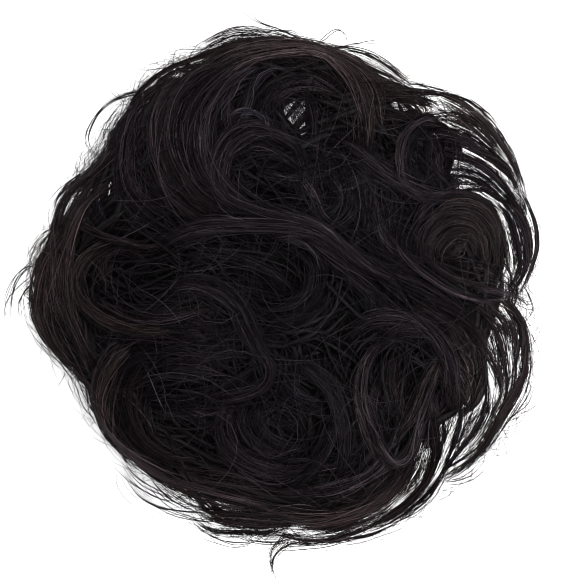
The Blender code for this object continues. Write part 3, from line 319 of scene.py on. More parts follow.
    LOCK("bottom_middle_lock", 110, 3.4, 2.2, 1.5, "brown", "plain", 1, [(420, 434), (414, 458), (405, 477), (393, 493), (376, 507), (352, 518), (324, 527), (296, 531)]),
    LOCK("bottom_middle_lock", 50, 2.4, 2.0, 1.2, "brown", "plain", 1, [(400, 496), (384, 510), (362, 521), (336, 529), (308, 535)]),
    # the lower edge
    LOCK("bottom_edge", 70, 3.0, 2.0, 1.5, "brown", "plain", 1, [(376, 523), (350, 532), (322, 538), (296, 537), (270, 531)]),
    LOCK("bottom_edge", 40, 1.4, 1.2, 1.0, "brown", "dark", 1, [(400, 521), (380, 531), (354, 538), (326, 541), (302, 541)]),
    LOCK("bottom_edge", 150, 4.6, 2.4, 1.5, "brown", "plain", 1, [(300, 524), (272, 524), (242, 522), (216, 518), (196, 511)]),
    LOCK("bottom_edge", 60, 1.8, 1.6, 1.0, "plain", "dark", 1, [(290, 527), (270, 531), (240, 531), (214, 530), (200, 523), (190, 512)]),
    LOCK("bottom_edge", 60, 3.0, 2.0, 2.0, "brown", "dark", 1, [(296, 512), (262, 514), (232, 512), (206, 509), (186, 505)]),
    LOCK("bottom_edge", 16, 1.0, 1.0, 1.0, "plain", "dark", 1, [(212, 514), (194, 512), (178, 510), (163, 508), (150, 503), (139, 496), (130, 485)]),
    LOCK("bottom_edge", 24, 6.5, 1.6, 2.0, "plain", "dark", 2, [(146, 474), (156, 487), (168, 499), (184, 508), (200, 514)]),
    LOCK("bottom_edge", 30, 4.0, 1.6, 2.0, "brown", "dark", 2, [(160, 482), (180, 494), (200, 502), (222, 505)]),
    LOCK("bottom_edge", 10, 3.0, 1.6, 2.0, "plain", "dark", 2, [(122, 466), (130, 482), (144, 496), (160, 505)]),
    LOCK("bottom_tip_curl", 30, 1.0, 1.2, 1.0, "brown", "dark", 1, [(352, 528), (325, 538), (302, 541), (290, 543), (281, 548), (274, 556), (272, 565), (275, 575), (281, 584)]),
    LOCK("bottom_tip_curl", 12, 1.0, 1.0, 1.0, "brown", "dark", 1, [(306, 536), (290, 535), (279, 540), (272, 549), (270, 559), (272, 570), (276, 580)]),
    LOCK("bottom_tip_curl", 10, 1.2, 1.0, 1.0, "brown", "dark", 2, [(312, 534), (298, 536), (287, 540), (280, 547), (276, 556)]),
    # the outer edge at the left and along the top
    LOCK("left_outer_sweep", 110, 3.4, 2.2, 1.0, "brown", "plain", 1, [(58, 206), (54, 228), (47, 248), (40, 272), (36, 296), (37, 318), (45, 338), (60, 356), (74, 372)]),
    LOCK("left_outer_sweep", 60, 3.4, 2.2, 2.0, "brown", "plain", 1, [(124, 146), (104, 164), (84, 184), (68, 198), (60, 214), (54, 236)]),
    LOCK("left_outer_sweep", 7, 0.9, 0.8, 2.0, "plain", "dark", 1, [(96, 164), (84, 172), (73, 179), (64, 188), (57, 198), (53, 210)]),
    LOCK("left_outer_sweep", 8, 1.4, 0.8, 2.0, "plain", "dark", 2, [(54, 232), (44, 244), (38, 258), (34, 274)]),
    LOCK("lower_left_edge", 90, 3.4, 2.2, 1.5, "brown", "plain", 1, [(61, 352), (77, 371), (92, 391), (104, 411), (114, 429), (128, 448)]),
    LOCK("lower_left_edge", 8, 0.9, 0.8, 1.5, "warm", "dark", 1, [(33, 328), (41, 342), (52, 354), (63, 366), (76, 384)]),
    LOCK("lower_left_edge", 60, 3.0, 2.0, 1.5, "brown", "plain", 1, [(112, 434), (126, 452), (144, 468), (162, 480), (186, 490)]),
    LOCK("lower_left_edge", 8, 0.9, 0.8, 1.5, "warm", "dark", 1, [(98, 412), (106, 430), (116, 447), (128, 460), (142, 474)]),
    LOCK("top_arch", 120, 3.2, 2.2, 1.0, "brown", "plain", 1, [(350, 54), (316, 47), (276, 42), (240, 45), (208, 56), (178, 66), (154, 80), (136, 98), (124, 118), (116, 140)]),
    LOCK("right_upper_outer", 90, 5.0, 1.6, 2.5, "brown", "dark", 3, [(380, 104), (394, 106), (410, 108), (426, 112)]),
    LOCK("inner_arch", 36, 4.0, 1.6, 3.0, "plain", "sheen", 3, [(292, 90), (295, 104), (299, 120), (304, 136)]),
    LOCK("left_inner_sweep", 70, 4.0, 1.6, 3.0, "plain", "plain", 3, [(100, 180), (97, 196), (99, 212), (106, 226)]),
    LOCK("top_arch", 50, 2.0, 1.6, 1.0, "brown", "dark", 1, [(326, 47), (296, 41), (266, 39), (240, 41), (216, 49), (190, 59), (168, 68)]),
    LOCK("top_arch", 60, 3.2, 2.2, 1.0, "brown", "plain", 1, [(286, 42), (318, 47), (346, 55), (370, 68), (394, 79), (416, 92)]),
    LOCK("left_edge_fall", 50, 4.0, 2.2, 2.0, "warm", "plain", 1, [(160, 82), (140, 100), (126, 124), (114, 148), (98, 170)]),
]

# How light and how warm a lock is, against hair in the middle of the piece. The tones are mostly painted light and
# shade: painted sheen where a lock catches the light (sheen, bright) and painted shade in holes and deep places (hole,
# dark, dim). The warm and brown hues are partly the hair's own colour and partly painted light shining through the edge
# hair.
TONES = {"hole": 0.50, "dark": 0.68, "dim": 0.85, "plain": 1.05, "sheen": 1.35, "bright": 1.65}
HUES = {"cool": 0.10, "plain": 0.32, "warm": 0.55, "brown": 0.85}


# ---------------------------------------------------------------- shape of the whole
def turn_value(column, theta):
    """A column of the outline table at any angle, round and smooth."""
    values = np.array([getattr(row, column) for row in OUTLINE_TABLE], float)
    count = len(values)
    place = (np.asarray(theta) % (2 * math.pi)) / (2 * math.pi) * count
    i = np.floor(place).astype(int)
    f = place - i
    a, b, c, d = (values[(i + k) % count] for k in (-1, 0, 1, 2))
    return b + 0.5 * f * (c - a + f * (2 * a - 5 * b + 4 * c - d + f * (3 * (b - c) + d - a)))


def plan_mm(points):
    p = np.asarray(points, float)
    return np.stack([(p[..., 0] - PLAN_MID[0]) * PLAN_STEP, (PLAN_MID[1] - p[..., 1]) * PLAN_STEP], axis=-1)


def relief(x, y):
    total = np.zeros_like(np.asarray(x, float))
    for row in RELIEF_TABLE:
        cx, cy = plan_mm((row.x, row.y))
        total = total + row.height * np.exp(-((x - cx) ** 2 + (y - cy) ** 2) / (2 * row.radius ** 2))
    return total


def skin(column, crown, theta, alpha):
    """Point of the hair's surface.  alpha: 0 at the crown, pi/2 at the widest part, pi below."""
    theta, alpha = np.broadcast_arrays(np.asarray(theta, float), np.asarray(alpha, float))
    rim = turn_value(column, theta)
    up = np.clip(alpha, 0, math.pi / 2)
    down = np.clip(alpha - math.pi / 2, 0, math.pi / 2)
    power = 2.0 / SQUARENESS
    share_r = np.where(alpha <= math.pi / 2, np.sin(up) ** power,
                       UNDER_SHARE + (1 - UNDER_SHARE) * np.cos(down))
    share_z = np.maximum(np.cos(up), 0) ** power
    x = rim * share_r * np.cos(theta)
    y = rim * share_r * np.sin(theta)
    z = EQUATOR_Z + (crown - EQUATOR_Z) * share_z - EQUATOR_Z * np.sin(down)
    z = z + relief(x, y) * np.clip(share_z, 0, 1) ** 0.5
    return np.stack([x, y, z], axis=-1)


def skin_normal(column, crown, theta, alpha):
    e = 0.01
    alpha = np.maximum(alpha, 0.03)
    along = skin(column, crown, theta, alpha + e) - skin(column, crown, theta, alpha - e)
    round_ = skin(column, crown, np.asarray(theta) + e, alpha) - skin(column, crown, np.asarray(theta) - e, alpha)
    n = np.cross(along, round_)
    return n / np.maximum(np.linalg.norm(n, axis=-1, keepdims=True), 1e-9)


EYE = (290 - PLAN_MID[0]) * PLAN_STEP      # the plan is seen from over this x
EYE_HEIGHT, PLAN_HEIGHT = 1103.0, 40.0


def from_above(plan, z):
    """Hair under the height of the plan looks smaller from above, so it lies further out."""
    eye = np.array([EYE, 0.0])
    return eye + (plan - eye) * ((EYE_HEIGHT - z) / (EYE_HEIGHT - PLAN_HEIGHT))[..., None]


def on_skin(plan, depth):
    """Plan points laid on the hair, depth mm under its top."""
    theta = np.arctan2(plan[..., 1], plan[..., 0])
    share = np.hypot(plan[..., 0], plan[..., 1]) / turn_value("rim", theta)
    alpha = np.arcsin(np.clip(share, 0, 0.995) ** (SQUARENESS / 2))
    normal = skin_normal("rim", CROWN_Z, theta, alpha)
    point = skin("rim", CROWN_Z, theta, alpha) - normal * np.asarray(depth)[..., None]
    point[..., 2] -= (np.maximum(share / 0.995, 1.0) - 1) * 40
    point[..., 2] = np.maximum(point[..., 2], 0.6)
    point[..., :2] = from_above(plan, point[..., 2])
    return point, normal


def in_gap(plan, grow=1.0):
    """True for plan points (mm) that lie where light shows through."""
    hit = np.zeros(plan.shape[:-1], bool)
    for row in GAP_TABLE:
        c = plan_mm((row.x, row.y))
        t = math.radians(row.turn)
        d = plan - c
        u = (d[..., 0] * math.cos(t) + d[..., 1] * math.sin(t)) / (row.half_long * PLAN_STEP * grow)
        v = (-d[..., 0] * math.sin(t) + d[..., 1] * math.cos(t)) / (row.half_wide * PLAN_STEP * grow)
        hit |= u * u + v * v < 1
    return hit


def smooth_route(points, count=160):
    """A smooth curve through the points, read at equal steps of its length."""
    p = np.array(points, float)
    p = np.vstack([2 * p[0] - p[1], p, 2 * p[-1] - p[-2]])
    fine = []
    for k in range(1, len(p) - 2):
        for f in np.linspace(0, 1, 24, endpoint=False):
            a, b, c, d = p[k - 1], p[k], p[k + 1], p[k + 2]
            fine.append(b + 0.5 * f * (c - a + f * (2 * a - 5 * b + 4 * c - d + f * (3 * (b - c) + d - a))))
    fine.append(p[-2])
    fine = np.array(fine)
    run = np.concatenate([[0], np.cumsum(np.linalg.norm(np.diff(fine, axis=0), axis=1))])
    want = np.linspace(0, run[-1], count)
    out = np.stack([np.interp(want, run, fine[:, k]) for k in range(fine.shape[1])], axis=1)
    for _ in range(3):
        out[1:-1] = (out[:-2] + 2 * out[1:-1] + out[2:]) / 4
    return out


def unit(v):
    return v / np.maximum(np.linalg.norm(v, axis=-1, keepdims=True), 1e-9)


# ---------------------------------------------------------------- strands and sheets of strands
STEP_LONG = 9.5           # longest piece of a strand, mm
STEP_TURN = 0.44          # most that a strand turns in one piece, rad
STRAND_R = 0.100          # radius of a strand, mm
WISP_R = 0.080            # radius of a single fine hair, mm


class Groom:
    """Collects closed thin forms that follow paths, and makes them one mesh."""

    def __init__(self):
        self.parts = []
        self.tris = 0

    def strands(self, path, normal, radius, warm, light):
        """Round strands.  path, normal: strands x points x 3.  radius, warm, light: strands x points."""
        path = np.asarray(path, float)
        count, points = path.shape[:2]
        if count == 0:
            return
        along, up, side = self.axes(path, normal)
        radius = np.broadcast_to(radius, (count, points))[..., None]
        ring = []
        for k in range(3):
            a = math.radians(90 + 120 * k)
            ring.append(path + (side * math.cos(a) + up * math.sin(a)) * radius)
        tone = np.stack([np.broadcast_to(warm, (count, points)), np.broadcast_to(light, (count, points))], axis=-1)
        self.tube(np.stack(ring, axis=2), np.repeat(tone[:, :, None], 4, axis=2))

    def sheets(self, path, normal, half_wide, half_thick, start, along_map):
        """Flat lens-shaped bundles.  start: strands x 2, the map place of each one's left end."""
        path = np.asarray(path, float)
        count, points = path.shape[:2]
        if count == 0:
            return
        along, up, side = self.axes(path, normal)
        w = np.broadcast_to(half_wide, (count, points))[..., None]
        h = np.broadcast_to(half_thick, (count, points))[..., None]
        ring = [path - side * w, path - up * h * 0.6, path + side * w, path + up * h]
        u = start[:, 0][:, None, None] + np.array([0, 0.5, 1.0, 0.5, 0.0])[None, None, :] * SHEET_MAP_WIDE
        v = start[:, 1][:, None, None] + np.asarray(along_map)[:, :, None] + np.zeros((1, 1, 5))
        self.tube(np.stack(ring, axis=2), np.stack([np.broadcast_to(u, v.shape), v], axis=-1))

    @staticmethod
    def axes(path, normal):
        along = unit(np.gradient(path, axis=1))
        normal = np.broadcast_to(normal, path.shape)
        up = unit(normal - along * np.sum(normal * along, axis=-1, keepdims=True))
        return along, up, np.cross(along, up)

    def tube(self, ring, uv):
        """ring: strands x points x corners x 3.  uv: strands x points x (corners + 1) x 2."""
        count, points, corners = ring.shape[:3]
        self.parts.append((ring, uv))
        self.tris += count * ((points - 1) * 2 * corners + 2 * (corners - 2))

    def mesh(self, name):
        coords, loops, totals, uvs, base = [], [], [], [], 0
        for v, tone in self.parts:
            count, points, corners = v.shape[:3]
            coords.append(v.reshape(-1, 3))
            index = base + np.arange(count * points * corners).reshape(count, points, corners)
            base += count * points * corners
            a, b = index[:, :-1], index[:, 1:]
            quads = np.stack([a, np.roll(a, -1, axis=2), np.roll(b, -1, axis=2), b], axis=-1)
            ends = np.stack([index[:, 0, ::-1], index[:, -1]], axis=1)
            quad_uv = np.stack([tone[:, :-1, :-1], tone[:, :-1, 1:], tone[:, 1:, 1:], tone[:, 1:, :-1]], axis=3)
            end_uv = np.stack([tone[:, 0, :-1][:, ::-1], tone[:, -1, :-1]], axis=1)
            loops += [quads.reshape(-1), ends.reshape(-1)]
            totals += [np.full(quads.size // 4, 4), np.full(ends.size // corners, corners)]
            uvs += [quad_uv.reshape(-1, 2), end_uv.reshape(-1, 2)]
        coords = np.concatenate(coords) * 0.001 + SHIFT
        loops, totals, uvs = np.concatenate(loops), np.concatenate(totals), np.concatenate(uvs)
        mesh = bpy.data.meshes.new(name)
        mesh.vertices.add(len(coords))
        mesh.vertices.foreach_set("co", coords.astype(np.float32).ravel())
        mesh.loops.add(len(loops))
        mesh.loops.foreach_set("vertex_index", loops.astype(np.int32))
        mesh.polygons.add(len(totals))
        starts = np.concatenate([[0], np.cumsum(totals)[:-1]])
        mesh.polygons.foreach_set("loop_start", starts.astype(np.int32))
        mesh.polygons.foreach_set("loop_total", totals.astype(np.int32))
        layer = mesh.uv_layers.new(name="OFBake")
        layer.data.foreach_set("uv", np.clip(uvs, 0.002, 0.998).astype(np.float32).ravel())
        mesh.update(calc_edges=True)
        mesh.polygons.foreach_set("use_smooth", np.ones(len(totals), bool))
        mesh.update()
        return mesh


MASS_SHARE = 0.95         # the dense mass against its solid
SHEET_MAP_WIDE = 0.05     # share of the map that one sheet's width takes


def knots(curve, step_long=STEP_LONG, step_turn=STEP_TURN):
    """Places along a fine curve (0 to 1) that follow its length and its turning."""
    d = np.diff(curve, axis=0)
    length = np.linalg.norm(d, axis=1)
    t = unit(d)
    turn = np.zeros(len(length))
    turn[1:] = np.arccos(np.clip(np.sum(t[1:] * t[:-1], axis=1), -1, 1))
    cost = np.concatenate([[0], np.cumsum(length / step_long + turn / step_turn)])
    count = int(np.clip(math.ceil(cost[-1]), 5, 30))
    place = np.linspace(0, 1, len(curve))
    return np.interp(np.linspace(0, cost[-1], count + 1), cost, place), length.sum()


def at(curve, place):
    """Reads a fine curve (points x n) at any places 0 to 1."""
    x = np.clip(place, 0, 1) * (len(curve) - 1)
    i = np.clip(np.floor(x).astype(int), 0, len(curve) - 2)
    f = x - i
    if curve.ndim > 1:
        f = f[..., None]
    return curve[i] * (1 - f) + curve[i + 1] * f


def wave(rng, shape, t, low, high):
    """Slow random waves along strands, one each, between -1 and 1."""
    out = np.zeros(np.broadcast(np.zeros(shape + (1,)), t).shape)
    for weight in (0.7, 0.3):
        freq = rng.uniform(low, high, shape + (1,))
        phase = rng.uniform(0, 2 * math.pi, shape + (1,))
        out = out + weight * np.sin(2 * math.pi * freq * t + phase)
        low, high = low * 2, high * 2
    return out


def tone_light(tone):
    """The place on the lightness axis of the map for a tone."""
    return LIGHT_MID + math.log(tone) / math.log(LIGHT_SPAN)


LIGHT_SPAN = 40.0         # how much lighter the light end of the map is than its dark end
LIGHT_MID = 0.44


def lay(route, depth):
    """A lock's middle line on the hair, with the directions out of it and across it."""
    plan = smooth_route(plan_mm(route))
    middle, normal = on_skin(plan, np.full(len(plan), depth))
    for _ in range(6):
        middle[1:-1, 2] = (middle[:-2, 2] + 2 * middle[1:-1, 2] + middle[2:, 2]) / 4
    return middle, normal


def frame_of(middle, normal):
    along = unit(np.gradient(middle, axis=0))
    up = unit(normal - along * np.sum(normal * along, axis=1, keepdims=True))
    return up, np.cross(along, up)


def lock_shape(t, free, dive=2.4):
    """How full a lock is along its length, and how far its ends dip into the hair."""
    start, end = (0.80, 0.70) if free else (0.55, 0.35)
    shape = np.minimum(start + (1 - start) * np.sin(np.clip(t / 0.35, 0, 1) * math.pi / 2),
                       end + (1 - end) * np.sin(np.clip((1 - t) / 0.40, 0, 1) * math.pi / 2))
    edge = np.minimum(np.clip(t / 0.18, 0, 1), np.clip((1 - t) / 0.18, 0, 1))
    return shape, (0 if free else dive) * (1 - np.sin(edge * math.pi / 2))


def comb(groom, middle, normal, width, thick, count, warm, tone, free, rng, radius=STRAND_R, keep=None):
    """Fills one lock with strands that gather into smaller locks and stray a little."""
    up, side = frame_of(middle, normal)
    place, length = knots(middle)
    n = max(int(count), 5)
    early, late = rng.uniform(0, 0.18, n), 1 - rng.uniform(0, 0.22, n)
    cut = rng.uniform(0, 1, n) < (0.30 if not free else 0.12)
    early = np.where(cut & (rng.uniform(0, 1, n) < 0.5), rng.uniform(0.1, 0.45, n), early)
    late = np.where(cut & (early < 0.1), rng.uniform(0.55, 0.9, n), late)
    t = early[:, None] + (late - early)[:, None] * place[None, :]

    clumps = max(int(n / (6 if free else 9)), 3)
    far = np.sqrt(rng.uniform(0, 1, clumps)) * (1.0 if free else 0.88)
    angle = rng.uniform(0, 2 * math.pi, clumps)
    mine = rng.integers(0, clumps, n)
    spread = rng.uniform(0.06, 0.26, clumps)[mine]
    a = (far * np.cos(angle))[mine] + rng.normal(0, 1, n) * spread
    b = (far * np.abs(np.sin(angle)) * 1.3 - 0.3)[mine] + rng.normal(0, 1, n) * spread
    cells = np.linspace(0, 1, 60)[None, :]
    drift_a = wave(rng, (clumps,), cells, 0.3, 0.8)
    drift_b = wave(rng, (clumps,), cells, 0.3, 0.8)
    pinch = 1 + 0.45 * wave(rng, (clumps,), cells, 0.4, 1.1)
    cell = np.clip((t * 59).astype(int), 0, 59)
    who = mine[:, None]
    base_a, base_b = (far * np.cos(angle))[who], (far * np.abs(np.sin(angle)) * 1.3 - 0.3)[who]
    a = base_a + (a[:, None] - base_a) * pinch[who, cell] + 0.24 * drift_a[who, cell]
    b = base_b + (b[:, None] - base_b) * pinch[who, cell] + 0.34 * drift_b[who, cell]

    shape, dip = lock_shape(t, free)
    stray = np.where(rng.uniform(0, 1, n) < (0.16 if not free else 0.10), rng.uniform(1.6, 4.2, n), 1.0)[:, None]
    loose = (0.28 + 0.035 * width) * stray
    slant = rng.normal(0, 0.35 if not free else 0.25, n)[:, None] * stray * (t - 0.5)
    off_a = a * width / 2 * shape + wave(rng, (n,), t, 0.6, 1.6) * loose + slant * min(width, 7) * 0.5
    off_b = b * thick / 2 * shape + wave(rng, (n,), t, 0.6, 1.6) * loose * 0.5 + (stray - 1) * 0.35 - dip
    path = at(middle, t) + at(side, t) * off_a[..., None] + at(up, t) * off_b[..., None]
    out = at(up, t)

    body = np.minimum(np.clip(place / 0.08, 0.35, 1), np.clip((1 - place) / 0.22, 0.22, 1))
    size = rng.uniform(0.72, 1.25, n) * radius
    warm = warm + rng.normal(0, 0.08, n) + rng.normal(0, 0.10, clumps)[mine]
    light = tone_light(tone) + rng.normal(0, 0.185, n) + rng.normal(0, 0.075, clumps)[mine]
    # painted sheen: each strand is coloured lighter along the middle of its lock, as a highlight
    painted_sheen = 0.07 * np.sin(np.clip(t, 0, 1) * math.pi)
    light = light[:, None] + painted_sheen - 0.04 + 0.05 * wave(rng, (n,), t, 0.5, 1.5)
    if keep is not None:
        ok = keep(path)
        path, out, size, warm, light = path[ok], out[ok], size[ok], warm[ok], light[ok]
    groom.strands(path, out, size[:, None] * body[None, :], warm[:, None], light)


def loose_hair(groom, middle, normal, width, count, warm, tone, rng, radius=WISP_R):
    """Single hairs that have left a free lock and run beside it."""
    up, side = frame_of(middle, normal)
    place, length = knots(middle)
    n = int(count)
    early, late = rng.uniform(0, 0.25, n), 1 - rng.uniform(0, 0.25, n)
    t = early[:, None] + (late - early)[:, None] * place[None, :]
    sway = np.sin(np.clip(t, 0, 1) * math.pi) ** 0.7
    off_a = (rng.normal(0, 0.42, n)[:, None] * (width + 1.2) + wave(rng, (n,), t, 0.5, 1.4) * 0.7) * (0.45 + 0.55 * sway)
    off_b = rng.normal(0, 1.6, n)[:, None] * (0.3 + 0.7 * sway)
    path = at(middle, t) + at(side, t) * off_a[..., None] + at(up, t) * off_b[..., None]
    body = np.minimum(np.clip(place / 0.1, 0.4, 1), np.clip((1 - place) / 0.2, 0.3, 1))
    path[..., 2] = np.maximum(path[..., 2], 0.6)
    groom.strands(path, at(up, t), (rng.uniform(0.8, 1.3, n) * radius)[:, None] * body[None, :],
                  warm + rng.normal(0, 0.1, n)[:, None] + 0 * t, tone_light(tone) + rng.normal(0, 0.18, n)[:, None] + 0 * t)


def off_gaps(path):
    return in_gap(path[..., :2], 1.15).sum(axis=1) == 0


def bundle(groom, middle, normal, width, thick, warm, rng, each=1.9, drop=0.9, free=0, keep=None):
    """Flat bundles inside a lock, under its strands."""
    up, side = frame_of(middle, normal)
    place, length = knots(middle, 7.0, 0.40)
    n = max(int(round(width / each * 1.7)), 2)
    early, late = rng.uniform(0, 0.12, n), 1 - rng.uniform(0, 0.14, n)
    t = early[:, None] + (late - early)[:, None] * place[None, :]
    shape, dip = lock_shape(t, free)
    a = (np.arange(n) + 0.5) / n * 2 - 1
    a = a[:, None] * 0.86 + 0.22 * wave(rng, (n,), t, 0.3, 0.9)
    b = -rng.uniform(0.1, 1.0, n)[:, None] * thick / 2 * 0.7 + 0.35 * wave(rng, (n,), t, 0.3, 0.9)
    off_a = a * width / 2 * shape
    off_b = b - dip - drop
    path = at(middle, t) + at(side, t) * off_a[..., None] + at(up, t) * off_b[..., None]
    tilt = np.radians(rng.normal(0, 16, n))[:, None, None]
    out = at(up, t) * np.cos(tilt) + at(side, t) * np.sin(tilt)
    ends = np.minimum(np.clip(place / 0.25, 0.06, 1), np.clip((1 - place) / 0.30, 0.05, 1))
    half = rng.uniform(0.75, 1.25, n)[:, None] * each / 2 * ends
    start = np.stack([rng.uniform(0.01, 0.93, n), np.clip(warm * 0.45 + rng.uniform(0, 0.06, n), 0, 0.5)], axis=1)
    along = np.clip(t * length / 130.0, 0, 0.48)
    if keep is not None:
        ok = keep(path)
        path, out, half, start, along = path[ok], out[ok], half[ok], start[ok], along[ok]
    groom.sheets(path, out, half, np.minimum(half * 0.34, 0.30), start, along)


def warmth(plan):
    """The edges are coloured warmer than the middle, as painted light shining through the hair at the edge."""
    theta = np.arctan2(plan[..., 1], plan[..., 0])
    share = np.hypot(plan[..., 0], plan[..., 1]) / turn_value("rim", theta)
    return 0.24 + 0.55 * np.clip((share - 0.60) / 0.40, 0, 1)


def beside_locks(count, spread, rng, length, points=9, gap_share=0.06, turn=5.5):
    """Plan curves that run beside the locks, spread to both sides of them."""
    curves = [smooth_route(plan_mm(row.route)) for row in LOCKS if not row.free]
    lengths = np.array([np.linalg.norm(np.diff(c, axis=0), axis=1).sum() for c in curves])
    pick = rng.choice(len(curves), count, p=lengths / lengths.sum())
    made = []
    for k, curve in enumerate(curves):
        n = int((pick == k).sum())
        if not n:
            continue
        want = rng.uniform(*length, n) / lengths[k]
        mid = rng.uniform(0, 1, n)
        lo, hi = mid - want / 2, mid + want / 2
        ahead, back = unit(curve[-1] - curve[-6]), unit(curve[0] - curve[5])
        longer = np.vstack([curve[0] + back * np.linspace(40, 0.4, 40)[:, None], curve,
                            curve[-1] + ahead * np.linspace(0.4, 40, 40)[:, None]])
        run = np.concatenate([[0], np.cumsum(np.linalg.norm(np.diff(longer, axis=0), axis=1))])
        s = (40 + (lo[:, None] + (hi - lo)[:, None] * np.linspace(0, 1, points)[None, :]) * lengths[k])
        s = np.clip(s, 0, run[-1])
        fine = np.stack([np.interp(s, run, longer[:, j]) for j in (0, 1)], axis=-1)
        t = unit(np.gradient(fine, axis=1))
        across = np.stack([-t[..., 1], t[..., 0]], axis=-1)
        u = np.linspace(-0.5, 0.5, points)[None, :]
        off = rng.normal(0, spread, n)[:, None] + rng.normal(0, turn, n)[:, None] * u \
            + rng.normal(0, turn * 0.6, n)[:, None] * (u * u * 4 - 0.5) * 0.5
        off = off + wave(rng, (n,), np.linspace(0, 1, points)[None, :], 0.4, 1.2) * 1.2
        made.append(fine + across * off[..., None])
    plan = np.concatenate(made)
    theta = np.arctan2(plan[..., 1], plan[..., 0])
    far = np.hypot(plan[..., 0], plan[..., 1])
    ok = np.all(far < turn_value("dense", theta) + 0.5, axis=1)
    ok &= (in_gap(plan).sum(axis=1) == 0) | (rng.uniform(0, 1, len(plan)) < gap_share)
    return plan[ok]


def ends_of(points):
    place = np.linspace(0, 1, points)[None, :]
    return np.minimum(np.clip(place / 0.1, 0.35, 1), np.clip((1 - place) / 0.2, 0.25, 1))


def mass_edge(theta):
    """How far out the dense mass reaches: it stays inside the edge of the locks."""
    return np.minimum(turn_value("core", theta) * MASS_SHARE, turn_value("dense", theta) - 4.5)


def rim_fill(sheets, strands, rng, many_sheets=1100, many_strands=800):
    """Hair that runs along the edge, between the dense mass and the edge of the locks."""
    for groom, count, points in ((sheets, many_sheets, 6), (strands, many_strands, 7)):
        theta = rng.uniform(0, 2 * math.pi, count)
        dense = turn_value("dense", theta)
        ok = rng.uniform(0, 24, count) < dense - mass_edge(theta)
        theta, dense = theta[ok], dense[ok]
        n = len(theta)
        share = rng.uniform(0, 1, n) ** 0.7
        half = rng.uniform(8, 15, n) / dense
        u = np.linspace(-1, 1, points)[None, :]
        angle = theta[:, None] + half[:, None] * u
        near = mass_edge(angle) - 3
        far = turn_value("dense", angle) - (1.4 if groom is sheets else 0.5)
        r = near + (far - near) * np.clip(share[:, None] + rng.normal(0, 0.22, n)[:, None] * u, 0, 1)
        plan = np.stack([r * np.cos(angle), r * np.sin(angle)], axis=-1)
        ok = in_gap(plan, 1.1).sum(axis=1) == 0
        plan, share, n = plan[ok], share[ok], int(ok.sum())
        u = np.linspace(0, 1, points)[None, :]
        depth = rng.uniform(1.5, 9.0, n)[:, None] + wave(rng, (n,), u, 0.3, 0.9)
        point, normal = on_skin(plan, depth)
        if groom is sheets:
            wide = rng.uniform(0.9, 1.6, n)[:, None] * np.minimum(np.clip(u / 0.25, 0.06, 1), np.clip((1 - u) / 0.3, 0.05, 1))
            start = np.stack([rng.uniform(0.01, 0.93, n), np.clip(warmth(plan).mean(axis=1) * 0.45, 0, 0.5)], axis=1)
            groom.sheets(point, normal, wide, np.minimum(wide * 0.34, 0.30), start, 0.3 * u + np.zeros((n, 1)))
        else:
            light = tone_light(0.8) + rng.normal(0, 0.20, n)
            groom.strands(point, normal, (rng.uniform(0.8, 1.25, n) * STRAND_R)[:, None] * ends_of(points),
                          warmth(plan) + rng.normal(0, 0.10, n)[:, None], light[:, None] + 0 * u)


def under_sheets(groom, count, low, high, rng):
    """Dark bundles low in the hair that close the spaces between the locks."""
    plan = beside_locks(count, 6.5, rng, (26, 52), points=8, gap_share=0.0)
    n, points = plan.shape[:2]
    u = np.linspace(0, 1, points)[None, :]
    depth = rng.uniform(low, high, n)[:, None] + wave(rng, (n,), u, 0.3, 1.0) * 0.8
    point, normal = on_skin(plan, depth)
    place = u
    half = rng.uniform(0.6, 1.1, n)[:, None] * np.minimum(np.clip(place / 0.25, 0.06, 1), np.clip((1 - place) / 0.3, 0.05, 1))
    tilt = np.radians(rng.normal(0, 22, n))[:, None, None]
    side = unit(np.cross(unit(np.gradient(point, axis=1)), normal))
    start = np.stack([rng.uniform(0.01, 0.93, n), np.clip(warmth(plan).mean(axis=1) * 0.45, 0, 0.5)], axis=1)
    groom.sheets(point, normal * np.cos(tilt) + side * np.sin(tilt), half, np.minimum(half * 0.34, 0.30), start, 0.3 * u + np.zeros((n, 1)))


def under_strands(groom, count, low, high, spread, radius, rng, tone=0.8, length=(26, 58)):
    """Strands between the locks, in all depths, coloured darker the deeper they lie as painted shade."""
    plan = beside_locks(count, spread, rng, length)
    n, points = plan.shape[:2]
    u = np.linspace(0, 1, points)[None, :]
    share = rng.uniform(0, 1, n)
    depth = (low + (high - low) * share)[:, None] + wave(rng, (n,), u, 0.3, 1.0) * 0.9
    point, normal = on_skin(plan, depth)
    # painted shade: the deeper a strand lies (share), the darker it is coloured
    light = tone_light(tone) + 0.06 - 0.34 * share + rng.normal(0, 0.20, n)
    groom.strands(point, normal, (rng.uniform(0.75, 1.25, n) * radius)[:, None] * ends_of(points),
                  warmth(plan) + rng.normal(0, 0.10, n)[:, None], light[:, None] + 0 * u)


